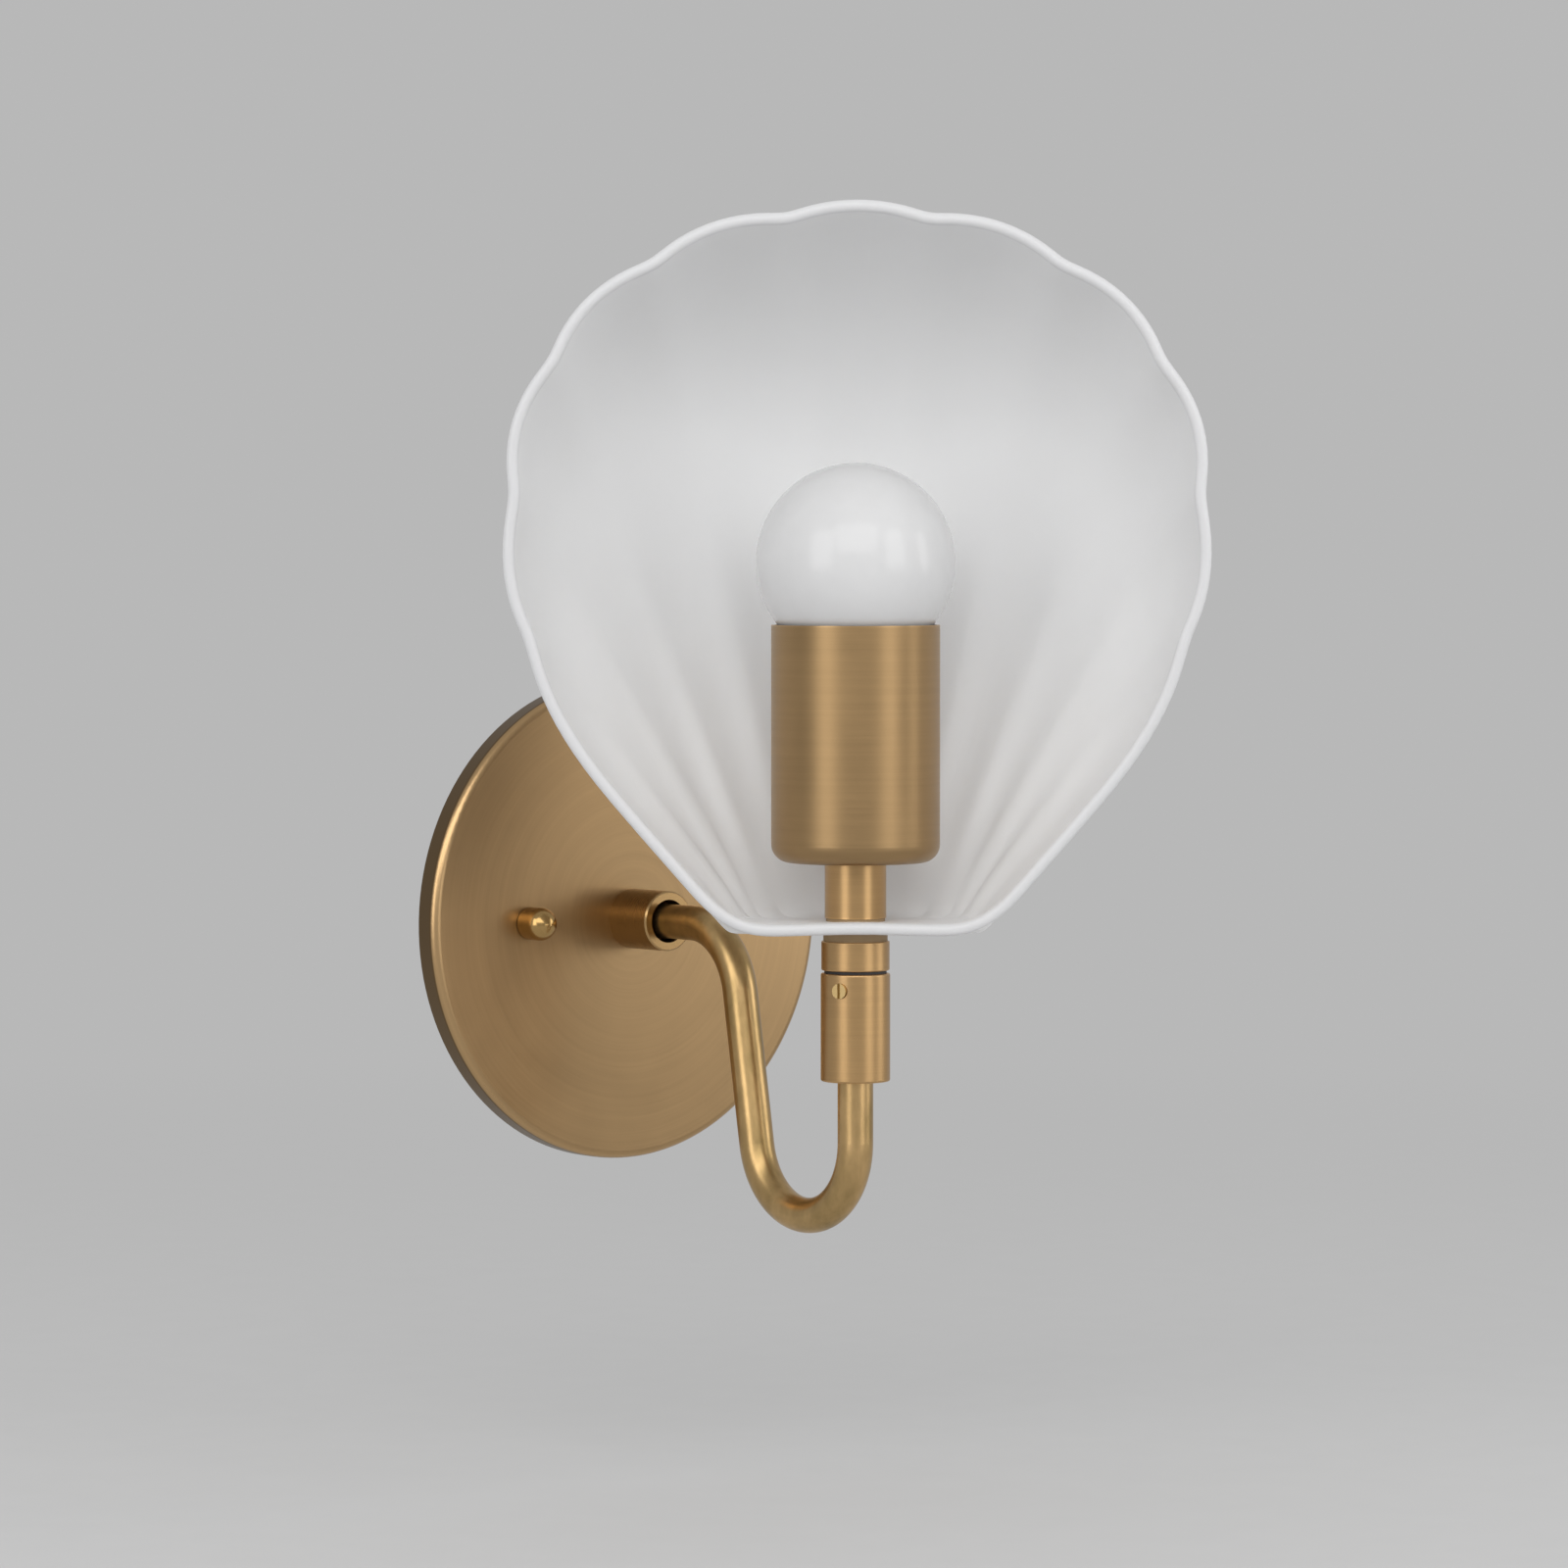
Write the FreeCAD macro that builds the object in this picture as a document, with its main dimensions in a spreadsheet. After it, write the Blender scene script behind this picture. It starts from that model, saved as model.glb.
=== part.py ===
# Shell wall sconce: a scallop-shell glass on a bent brass arm, with a round wall plate.
# Millimetres. The origin is the middle of the wall plate, on the wall. +X is to the right
# seen from the room, -Y comes out of the wall into the room, and +Z is up.
import FreeCAD
import Part
import Sketcher
import math
import os

from FreeCAD import Placement, Rotation, Vector

doc = FreeCAD.newDocument("shell_sconce")

# ---------------------------------------------------------------------------
# Driving dimensions: name, value, what it measures
# ---------------------------------------------------------------------------
DIMENSIONS = [
    ("reach", 100.0, "wall to the axis of the upright stem"),
    ("shade_yaw", 38.0, "how far the shade is turned towards the viewer's left, degrees"),

    ("canopy_diameter", 127.0, "wall plate, across"),
    ("canopy_rim_depth", 6.6, "wall to the outer edge of its face"),
    ("canopy_dome", 1.5, "how much the face swells from its edge to its flat middle"),
    ("canopy_flat", 26.0, "flat middle of the wall plate, across"),
    ("canopy_sheet", 1.0, "thickness of its brass sheet"),
    ("canopy_edge_round", 2.2, "rounding of the outer edge"),
    ("stud_spacing", 67.0, "between the two canopy studs"),
    ("stud_diameter", 4.0, "canopy stud thread"),
    ("stud_hole_play", 0.15, "radial play of the stud in the canopy"),
    ("stud_engagement", 6.4, "length of stud inside the cap nut"),
    ("cap_nut_diameter", 8.6, "across the cap nut"),
    ("cap_nut_barrel", 4.3, "cap nut's cylinder, below its ball end"),

    ("strap_length", 104.0, "mounting strap, end to end"),
    ("strap_width", 18.0, "mounting strap, height"),
    ("strap_thickness", 2.0, "mounting strap steel"),
    ("strap_window", 15.0, "round opening in the middle of the strap"),
    ("box_slot_spacing", 88.9, "between the slots for the wall box screws"),
    ("box_slot_width", 4.8, "width of each slot"),
    ("box_slot_length", 9.0, "length of each slot, end to end"),
    ("ground_screw_place", 21.0, "earth screw, from the middle of the strap"),
    ("ground_screw_diameter", 3.9, "earth screw thread"),
    ("ground_head_diameter", 7.4, "earth screw head"),
    ("ground_head_height", 2.2, "earth screw head, height"),
    ("ground_wire", 1.6, "earth lead, across"),

    ("collar_diameter", 15.7, "wall collar, across"),
    ("collar_length", 15.4, "wall collar, from the canopy's face"),
    ("collar_bore", 11.3, "open bore round the arm"),
    ("collar_web", 2.5, "closed end of the collar, at the canopy"),
    ("collar_chamfer", 0.4, "front edge of the collar"),

    ("rod_diameter", 10.0, "thread of the nipple and of the swivel stud"),
    ("rod_play", 0.05, "radial play of a part that fits on that thread"),
    ("nipple_bore", 5.2, "wire way through the nipple"),
    ("nipple_rear", 1.6, "wall to the rear end of the nipple"),
    ("nipple_shoulder", 13.0, "wall to the step where the arm tube seats"),
    ("spigot_length", 10.0, "part of the nipple inside the arm tube"),
    ("hex_across", 14.0, "lock nuts, across the flats"),
    ("hex_height", 3.0, "canopy lock nut"),
    ("terminal_thickness", 0.8, "ring terminal of the earth lead"),
    ("terminal_diameter", 13.0, "ring terminal, across"),
    ("terminal_tail", 5.0, "ring terminal, tail beyond the ring"),
    ("bushing_wall", 0.7, "plastic bushing in the nipple's rear end"),
    ("bushing_length", 6.0, "bushing, inside the nipple"),
    ("bushing_flange", 0.8, "bushing's flange"),

    ("tube_diameter", 9.0, "arm tube, across"),
    ("tube_wall", 1.0, "arm tube wall"),
    ("bend_radius", 20.0, "both bends, on the tube's centre line"),
    ("leg_tilt", 10.0, "lean of the falling leg from upright, degrees"),
    ("arm_drop", 72.3, "collar axis to the lowest point of the centre line"),
    ("tube_insertion", 9.0, "arm tube inside the swivel body"),

    ("swivel_bottom", 36.6, "collar axis down to the swivel body's lower end"),
    ("swivel_height", 27.3, "swivel body"),
    ("swivel_diameter", 17.5, "swivel body, across"),
    ("swivel_bore_depth", 14.7, "bore for the stud, from the top"),
    ("swivel_wire_way", 6.6, "wire way between the stud and the tube"),
    ("swivel_edge", 0.5, "rounding of the swivel body's edges"),
    ("joint_gap", 0.7, "dark joint line, filled by the washer"),
    ("washer_inset", 0.9, "washer edge behind the brass"),

    ("lock_screw_depth", 4.1, "lock screw axis below the swivel body's top"),
    ("lock_screw_angle", 66.0, "lock screw direction, left of straight out of the wall, degrees"),
    ("lock_screw_diameter", 3.8, "lock screw"),
    ("lock_screw_proud", 0.7, "how far the lock screw stands out"),
    ("lock_screw_slot", 0.8, "screwdriver slot"),
    ("lock_screw_play", 0.05, "radial play of the lock screw in its hole"),
    ("groove_depth", 0.8, "groove round the stud for the lock screw"),
    ("groove_side_play", 0.3, "room each side of the lock screw in the groove"),
    ("groove_tip_play", 0.3, "lock screw tip to the floor of the groove"),

    ("stud_bore", 7.0, "wire way through the swivel stud"),
    ("stud_floor_play", 0.4, "stud's lower end to the floor of its bore"),

    ("ring_diameter", 17.2, "seat ring, across"),
    ("ring_height", 7.4, "seat ring"),
    ("ring_edge", 0.35, "rounding of the ring's edges"),
    ("gasket_diameter", 16.2, "lower gasket, across"),
    ("lower_gasket_thickness", 2.0, "lower gasket"),
    ("upper_gasket_thickness", 0.8, "upper gasket"),
    ("stem_diameter", 15.5, "stem tube, across"),
    ("stem_wall", 1.2, "stem tube wall"),
    ("stem_height", 14.0, "stem tube"),
    ("stem_gasket_inset", 0.3, "upper gasket's edge behind the stem tube"),

    ("cup_diameter", 42.5, "socket cup, across"),
    ("globe_clearance", 0.62, "cup's inner edge to the globe"),
    ("cup_wall", 0.8, "socket cup wall"),
    ("cup_floor", 1.0, "socket cup floor"),
    ("cup_corner", 4.6, "rounding of the cup's lower corner"),
    ("cup_washer_diameter", 18.0, "washer in the cup"),
    ("cup_washer_thickness", 0.8, "washer in the cup"),
    ("cup_nut_height", 3.6, "nut in the cup"),

    ("cap_plate_diameter", 34.0, "lampholder's mounting plate"),
    ("cap_plate_thickness", 1.2, "mounting plate"),
    ("cap_boss_diameter", 14.0, "threaded boss of the plate"),
    ("cap_boss_height", 2.0, "threaded boss below the plate"),
    ("cap_screw_spacing", 24.0, "between the lampholder's two screws"),
    ("cap_screw_diameter", 3.0, "lampholder screws"),
    ("cap_screw_length", 6.0, "lampholder screws, inside the porcelain"),
    ("cap_screw_head", 5.4, "lampholder screw heads, across"),
    ("cap_screw_head_height", 1.6, "lampholder screw heads"),

    ("porcelain_diameter", 36.5, "lampholder body, across"),
    ("porcelain_height", 32.0, "lampholder body"),
    ("porcelain_web", 3.0, "porcelain between the wire recess and the lamp's hole"),
    ("porcelain_bore", 29.4, "hole for the lamp"),
    ("recess_depth", 4.0, "wire recess under the porcelain"),
    ("recess_width", 12.0, "wire recess, across"),
    ("recess_length", 31.0, "wire recess, end to end"),
    ("porcelain_edge", 1.2, "rounding of the porcelain's top edge"),
    ("screw_shell_sheet", 0.5, "brass of the threaded shell"),
    ("screw_shell_height", 22.0, "threaded shell"),
    ("screw_shell_flange", 2.6, "inward flange at the threaded shell's foot"),
    ("contact_width", 6.0, "centre contact strip, across"),
    ("contact_sheet", 0.6, "centre contact strip"),
    ("contact_rise", 1.0, "button of the centre contact"),
    ("contact_button", 5.0, "button of the centre contact, across"),
    ("hot_terminal_place", 8.5, "brass terminal screw, from the axis"),
    ("neutral_terminal_place", 12.4, "nickel terminal screw, from the axis"),
    ("terminal_screw_diameter", 2.6, "terminal screws"),
    ("terminal_head_diameter", 4.8, "terminal screw heads"),
    ("terminal_head_height", 1.5, "terminal screw heads"),
    ("terminal_grip", 1.3, "room for the wire's end under the head"),

    ("lead_diameter", 2.0, "each lamp lead"),
    ("lead_offset", 1.15, "each lamp lead, from the middle of the wire way"),
    ("lead_bend", 2.0, "bend of the leads at the lampholder"),
    ("lead_tail", 1.2, "how far the leads stand out of the nipple's rear end"),

    ("globe_diameter", 50.2, "opal globe of the lamp"),
    ("globe_glass", 0.8, "thickness of the globe's glass"),
    ("lamp_neck_diameter", 25.2, "neck of the globe"),
    ("lamp_neck_straight", 2.94, "straight part of the neck, above the screw base"),
    ("lamp_neck_round", 14.0, "hollow round between the neck and the globe"),
    ("lamp_base_diameter", 26.2, "lamp's screw base, across its thread"),
    ("lamp_base_height", 23.2, "lamp's screw base"),
    ("lamp_base_sheet", 0.4, "metal of the screw base"),
    ("thread_depth", 0.7, "depth of the rolled thread"),
    ("thread_pitch", 3.6, "pitch of the rolled thread"),
    ("insulator_height", 2.4, "glass insulator under the base"),
    ("insulator_diameter", 17.0, "glass insulator at the base"),
    ("tip_height", 0.9, "contact button of the lamp"),
    ("tip_diameter", 9.0, "contact button of the lamp, across"),

    ("shell_width", 177.4, "glass shell, across at its widest"),
    ("shell_height", 183.2, "glass shell, from its floor to the top of the rim"),
    ("shell_widest_height", 107.0, "floor up to the widest place"),
    ("shell_glass", 3.0, "thickness of the glass"),
    ("shell_rim_ahead", 15.0, "plane of the rim, in front of the stem axis"),
    ("shell_shoulder", 2.12, "fullness of the upper outline: 2 is an ellipse"),
    ("shell_taper_angle", 41.0, "lean of the lower sides from upright, degrees"),
    ("shell_side_drop", 46.0, "control of the lower sides, below the widest place"),
    ("shell_side_rise", 54.0, "control of the lower sides, up the taper from the corner"),
    ("shell_corner_width", 81.0, "across, where the lower corners begin"),
    ("shell_corner_height", 9.5, "floor up to where the lower corners begin"),
    ("shell_lip_width", 46.0, "straight part of the front lip"),
    ("shell_lip_rise", 0.5, "how much the lip lifts in its middle"),
    ("shell_back_swell", 96.0, "control depth of the upper back, behind the rim"),
    ("shell_back_swell_height", 169.0, "height of that control"),
    ("shell_back_lean", 62.0, "control depth of the lower back, behind the rim"),
    ("shell_back_lean_height", 60.0, "height of that control"),
    ("shell_edge_turn", 14.0, "least depth over which the side walls turn forward"),
    ("shell_floor_width", 68.0, "floor, across"),
    ("shell_floor_depth", 37.0, "floor, from the lip to its back edge"),
    ("shell_corner_floor", 11.0, "floor behind the rim at the lower corners"),
    ("flute_pitch", 36.7, "between flutes, along the rim"),
    ("flute_depth", 2.3, "depth of the valleys at the rim"),
    ("flute_count", 5.0, "valleys on each side of the middle flute"),
    ("shell_hole", 11.0, "hole in the glass floor for the stud"),
]


class Size:
    """A number that remembers the spreadsheet formula it comes from."""

    def __init__(self, value, formula):
        self.value = float(value)
        self.formula = formula

    def __add__(self, other):
        other = as_size(other)
        return Size(self.value + other.value, f"({self.formula} + {other.formula})")

    def __sub__(self, other):
        other = as_size(other)
        return Size(self.value - other.value, f"({self.formula} - {other.formula})")

    def __mul__(self, other):
        other = as_size(other)
        return Size(self.value * other.value, f"({self.formula} * {other.formula})")

    def __truediv__(self, other):
        other = as_size(other)
        return Size(self.value / other.value, f"({self.formula} / {other.formula})")

    def __neg__(self):
        return Size(-self.value, f"(-1 * {self.formula})")


def as_size(number):
    if isinstance(number, Size):
        return number
    return Size(number, str(float(number)))


def square_root(size):
    return Size(math.sqrt(size.value), f"sqrt({size.formula})")


class Sheet:
    """The spreadsheet of driving dimensions. Each one is read as an attribute."""

    def __init__(self, rows):
        self.table = doc.addObject("Spreadsheet::Sheet", "Sizes")
        self.table.Label = "Sizes"
        for row, (name, value, meaning) in enumerate(rows, start=1):
            self.table.set(f"A{row}", name)
            self.table.set(f"B{row}", str(value))
            self.table.setAlias(f"B{row}", name)
            self.table.set(f"C{row}", meaning)
            setattr(self, name, Size(value, f"Sizes.{name}"))


d = Sheet(DIMENSIONS)
doc.recompute()

nodes = {}


def bind(thing, name, size):
    """Drive one property of an object from the spreadsheet."""
    thing.setExpression(name, as_size(size).formula)


def keep(thing, node):
    """Name a finished sub-part and remember it for export."""
    thing.Label = node
    nodes[node] = thing
    return thing


def on_wall(thing, depth=0.0, x=0.0, z=0.0):
    """Stand a piece on the wall's axis: its own +Z comes out of the wall."""
    thing.Placement = Placement(Vector(0, 0, 0), Rotation(Vector(1, 0, 0), 90))
    bind(thing, "Placement.Base.x", x)
    bind(thing, "Placement.Base.y", -as_size(depth))
    bind(thing, "Placement.Base.z", z)
    return thing


def on_stem(thing, height, turned=False):
    """Stand a piece on the stem's upright axis, turned with the shade if asked."""
    thing.Placement = Placement(Vector(0, 0, 0), Rotation(Vector(0, 0, 1), 1))
    bind(thing, "Placement.Base.y", -d.reach)
    bind(thing, "Placement.Base.z", height)
    bind(thing, "Placement.Rotation.Angle", -d.shade_yaw if turned else as_size(0.0))
    return thing


# ---------------------------------------------------------------------------
# Ways of making pieces
# ---------------------------------------------------------------------------
def origin_plane(body, role):
    for feature in body.Origin.OriginFeatures:
        if feature.Role == role:
            return feature
    raise ValueError(f"no {role} in {body.Label}")


def sketch_on(body, role, name):
    sketch = body.newObject("Sketcher::SketchObject", name)
    sketch.AttachmentSupport = (origin_plane(body, role), "")
    sketch.MapMode = "FlatFace"
    return sketch


def constrain(sketch, kind, *items, size=None, name=None):
    """Add a constraint, and bind its value to the sheet where it has a size."""
    if size is None:
        return sketch.addConstraint(Sketcher.Constraint(kind, *items))
    index = sketch.addConstraint(Sketcher.Constraint(kind, *items, size.value))
    sketch.renameConstraint(index, name)
    bind(sketch, f"Constraints.{name}", size)
    return index


class Bow:
    """A curved side of a turned outline: a radius, and which way it swells."""

    def __init__(self, radius, clockwise):
        self.radius = radius
        self.clockwise = clockwise


def arc_between(start, end, bow):
    """The arc from start to end, with its centre on the side that bow says."""
    chord = end - start
    half = chord.Length / 2
    rise = math.sqrt(max(bow.radius.value ** 2 - half ** 2, 0.0))
    side = Vector(-chord.y, chord.x, 0).normalize()
    if bow.clockwise:
        side = -side
    centre = (start + end) * 0.5 + side * rise
    first, last = (end, start) if bow.clockwise else (start, end)
    from_angle = math.atan2(first.y - centre.y, first.x - centre.x)
    to_angle = math.atan2(last.y - centre.y, last.x - centre.x)
    circle = Part.Circle(centre, Vector(0, 0, 1), bow.radius.value)
    return Part.ArcOfCircle(circle, from_angle, to_angle)


def turned(node, outline):
    """A piece turned round its own Z axis.

    outline lists (radius, height) corners in order; a third item bends the side that
    leaves that corner.
    """
    corners = [(as_size(corner[0]), as_size(corner[1])) for corner in outline]
    bows = [corner[2] if len(corner) > 2 else None for corner in outline]
    body = doc.addObject("PartDesign::Body", node)
    sketch = sketch_on(body, "XZ_Plane", f"{node}_outline")
    points = [Vector(radius.value, height.value, 0) for radius, height in corners]
    count = len(points)
    starts = []
    ends = []
    for i in range(count):
        following = points[(i + 1) % count]
        if bows[i] is None:
            sketch.addGeometry(Part.LineSegment(points[i], following))
        else:
            sketch.addGeometry(arc_between(points[i], following, bows[i]))
        backwards = bows[i] is not None and bows[i].clockwise
        starts.append(2 if backwards else 1)
        ends.append(1 if backwards else 2)
    for i in range(count):
        following = (i + 1) % count
        constrain(sketch, "Coincident", i, ends[i], following, starts[following])
        radius, height = corners[i]
        constrain(sketch, "DistanceX", -1, 1, i, starts[i], size=radius, name=f"radius{i}")
        constrain(sketch, "DistanceY", -1, 1, i, starts[i], size=height, name=f"height{i}")
        if bows[i] is not None:
            constrain(sketch, "Radius", i, size=bows[i].radius, name=f"bow{i}")
    revolution = body.newObject("PartDesign::Revolution", f"{node}_turned")
    revolution.Profile = sketch
    revolution.ReferenceAxis = (sketch, ["V_Axis"])
    revolution.Angle = 360
    doc.recompute()
    return keep(body, node)


def ring_edges(shape, places):
    """Names of the full circles at the given (radius, height) places."""
    names = []
    for index, edge in enumerate(shape.Edges, start=1):
        if not isinstance(edge.Curve, Part.Circle):
            continue
        for radius, height in places:
            near_radius = abs(edge.Curve.Radius - as_size(radius).value) < 1e-4
            near_height = abs(edge.Curve.Center.z - as_size(height).value) < 1e-4
            if near_radius and near_height:
                names.append(f"Edge{index}")
    return names


def rounded(body, size, places, kind="Fillet"):
    """Round or chamfer a turned piece's circles at the given places."""
    base = body.Tip
    feature = body.newObject(f"PartDesign::{kind}", f"{body.Label}_{kind.lower()}")
    feature.Base = (base, ring_edges(base.Shape, places))
    bind(feature, "Radius" if kind == "Fillet" else "Size", size)
    doc.recompute()
    return body


def tube(outer, inner, low, high):
    """The outline of a plain ring or tube."""
    return [(inner, low), (outer, low), (outer, high), (inner, high)]


def cylinder(name, radius, height, x=0.0, y=0.0, z=0.0):
    piece = doc.addObject("Part::Cylinder", name)
    bind(piece, "Radius", radius)
    bind(piece, "Height", height)
    bind(piece, "Placement.Base.x", x)
    bind(piece, "Placement.Base.y", y)
    bind(piece, "Placement.Base.z", z)
    return piece


def box(name, length, width, height, x=None, y=None, z=0.0):
    """A box, centred on X and Y unless a low corner is given."""
    piece = doc.addObject("Part::Box", name)
    bind(piece, "Length", length)
    bind(piece, "Width", width)
    bind(piece, "Height", height)
    bind(piece, "Placement.Base.x", -as_size(length) / 2 if x is None else x)
    bind(piece, "Placement.Base.y", -as_size(width) / 2 if y is None else y)
    bind(piece, "Placement.Base.z", z)
    return piece


def fused(name, pieces):
    result = doc.addObject("Part::MultiFuse", name)
    result.Shapes = pieces
    result.Refine = True
    return result


def cut(name, base, tools):
    """Base with every tool taken away."""
    result = doc.addObject("Part::Cut", name)
    result.Base = base
    result.Tool = tools[0] if len(tools) == 1 else fused(f"{name}_tools", tools)
    doc.recompute()
    return result


def pair(name, pieces):
    """Like pieces that share a node and stay separate solids."""
    result = doc.addObject("Part::Compound", name)
    result.Links = pieces
    doc.recompute()
    return keep(result, name)


def hex_nut(node, height, bore):
    """A hex nut, standing on Z = 0."""
    prism = doc.addObject("Part::Prism", f"{node}_hexagon")
    prism.Polygon = 6
    bind(prism, "Circumradius", d.hex_across / math.sqrt(3))
    bind(prism, "Height", height)
    nut = cut(f"{node}_bored", prism, [cylinder(f"{node}_bore", bore, height)])
    return keep(nut, node)


# ---------------------------------------------------------------------------
# Levels along the stem, and depths from the wall
# ---------------------------------------------------------------------------
rod_radius = d.rod_diameter / 2
rod_hole = rod_radius + d.rod_play

canopy_front = d.canopy_rim_depth + d.canopy_dome
canopy_back_face = canopy_front - d.canopy_sheet
terminal_back = canopy_back_face - d.terminal_thickness
locknut_back = terminal_back - d.hex_height
dome_run = d.canopy_diameter / 2 - d.canopy_flat / 2
canopy_swell = (dome_run * dome_run + d.canopy_dome * d.canopy_dome) / (d.canopy_dome * 2)
nut_inner_edge = d.stud_spacing / 2 - d.cap_nut_diameter / 2 - d.canopy_flat / 2
cap_nut_seat = canopy_front - canopy_swell + square_root(
    canopy_swell * canopy_swell - nut_inner_edge * nut_inner_edge
)

swivel_base = -d.swivel_bottom
swivel_top = swivel_base + d.swivel_height
ring_base = swivel_top + d.joint_gap
lower_gasket_base = ring_base + d.ring_height
floor_base = lower_gasket_base + d.lower_gasket_thickness
upper_gasket_base = floor_base + d.shell_glass
stem_base = upper_gasket_base + d.upper_gasket_thickness
cup_base = stem_base + d.stem_height
cup_inside = cup_base + d.cup_floor
cup_nut_base = cup_inside + d.cup_washer_thickness
cap_boss_base = cup_nut_base + d.cup_nut_height
cap_plate_base = cap_boss_base + d.cap_boss_height
porcelain_base = cap_plate_base + d.cap_plate_thickness
recess_top = porcelain_base + d.recess_depth
lamp_floor = recess_top + d.porcelain_web
stud_base = swivel_top - d.swivel_bore_depth + d.stud_floor_play
lock_level = swivel_top - d.lock_screw_depth
tip_base = lamp_floor + d.contact_sheet + d.contact_rise

# The lamp, from its contact up. The hollow round touches the neck and the globe.
globe_radius = d.globe_diameter / 2
neck_radius = d.lamp_neck_diameter / 2
insulator_base = d.tip_height
lamp_base_foot = insulator_base + d.insulator_height
lamp_base_top = lamp_base_foot + d.lamp_base_height
neck_top = lamp_base_top + d.lamp_neck_straight
round_reach = globe_radius + d.lamp_neck_round
round_across = neck_radius + d.lamp_neck_round
round_rise = square_root(round_reach * round_reach - round_across * round_across)
globe_level = neck_top + round_rise
globe_centre = tip_base + globe_level

# The cup ends just below the globe.
cup_outer = d.cup_diameter / 2
cup_inner = cup_outer - d.cup_wall
edge_to_centre = globe_radius + d.globe_clearance
cup_top = globe_centre - square_root(edge_to_centre * edge_to_centre - cup_inner * cup_inner)
cup_height = cup_top - cup_base


# ---------------------------------------------------------------------------
# The wall plate and what is behind it
# ---------------------------------------------------------------------------
def make_canopy():
    radius = d.canopy_diameter / 2
    flat = d.canopy_flat / 2
    swell = Bow(canopy_swell, True)
    hollow = Bow(canopy_swell, False)
    canopy = turned("canopy", [
        (rod_hole, canopy_front),
        (flat, canopy_front, swell),
        (radius, d.canopy_rim_depth),
        (radius, 0.0),
        (radius - d.canopy_sheet, 0.0),
        (radius - d.canopy_sheet, d.canopy_rim_depth - d.canopy_sheet, hollow),
        (flat, canopy_back_face),
        (rod_hole, canopy_back_face),
    ])
    rounded(canopy, d.canopy_edge_round, [(radius, d.canopy_rim_depth)])
    sketch = sketch_on(canopy, "XY_Plane", "canopy_stud_holes")
    hole = d.stud_diameter / 2 + d.stud_hole_play
    for side, name in ((1, "right"), (-1, "left")):
        place = d.stud_spacing / 2 * side
        circle = sketch.addGeometry(Part.Circle(Vector(place.value, 0, 0), Vector(0, 0, 1), hole.value))
        constrain(sketch, "PointOnObject", circle, 3, -1)
        constrain(sketch, "DistanceX", -1, 1, circle, 3, size=place, name=f"{name}_place")
        constrain(sketch, "Radius", circle, size=hole, name=f"{name}_radius")
    pocket = canopy.newObject("PartDesign::Pocket", "canopy_stud_pocket")
    pocket.Profile = sketch
    pocket.Type = "ThroughAll"
    pocket.Midplane = True
    doc.recompute()
    on_wall(canopy)


def make_mounting_strap():
    plate = box("strap_plate", d.strap_length, d.strap_width, d.strap_thickness)
    tools = [cylinder("strap_window_cut", d.strap_window / 2, d.strap_thickness)]
    for side, name in ((1, "right"), (-1, "left")):
        stud_place = d.stud_spacing / 2 * side
        stud_hole = d.stud_diameter / 2 + d.rod_play
        tools.append(cylinder(f"strap_stud_{name}", stud_hole, d.strap_thickness, x=stud_place))
        run = d.box_slot_length - d.box_slot_width
        middle = d.box_slot_spacing / 2 * side
        for end, end_name in ((1, "outer"), (-1, "inner")):
            tools.append(cylinder(
                f"strap_slot_{name}_{end_name}", d.box_slot_width / 2, d.strap_thickness,
                x=middle + run / 2 * end,
            ))
        tools.append(box(
            f"strap_slot_{name}", run, d.box_slot_width, d.strap_thickness, x=middle - run / 2,
        ))
    ground_hole = d.ground_screw_diameter / 2 + d.rod_play
    tools.append(cylinder("strap_ground", ground_hole, d.strap_thickness, x=d.ground_screw_place))
    on_wall(keep(cut("strap_cut", plate, tools), "mounting_strap"))


def make_canopy_fixings():
    end = cap_nut_seat + d.stud_engagement
    nut_radius = d.cap_nut_diameter / 2
    studs = []
    nuts = []
    for side, name in ((1, "right"), (-1, "left")):
        place = d.stud_spacing / 2 * side
        studs.append(cylinder(f"canopy_stud_{name}", d.stud_diameter / 2, end, x=place))
        barrel = cylinder(f"cap_nut_barrel_{name}", nut_radius, d.cap_nut_barrel, x=place, z=cap_nut_seat)
        ball = doc.addObject("Part::Sphere", f"cap_nut_ball_{name}")
        bind(ball, "Radius", nut_radius)
        bind(ball, "Placement.Base.x", place)
        bind(ball, "Placement.Base.z", cap_nut_seat + d.cap_nut_barrel)
        ball.Angle1 = 0
        thread = cylinder(
            f"cap_nut_thread_{name}", d.stud_diameter / 2 + d.rod_play, d.stud_engagement + d.rod_play,
            x=place, z=cap_nut_seat,
        )
        solid = fused(f"cap_nut_solid_{name}", [barrel, ball])
        nuts.append(cut(f"cap_nut_{name}", solid, [thread]))
    on_wall(pair("canopy_studs", studs))
    on_wall(pair("cap_nuts", nuts))


def make_wall_collar():
    outer = d.collar_diameter / 2
    collar = turned("wall_collar", [
        (rod_hole, 0.0),
        (outer, 0.0),
        (outer, d.collar_length),
        (d.collar_bore / 2, d.collar_length),
        (d.collar_bore / 2, d.collar_web),
        (rod_hole, d.collar_web),
    ])
    rounded(collar, d.collar_chamfer, [(outer, d.collar_length)], kind="Chamfer")
    on_wall(collar, depth=canopy_front)


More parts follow.
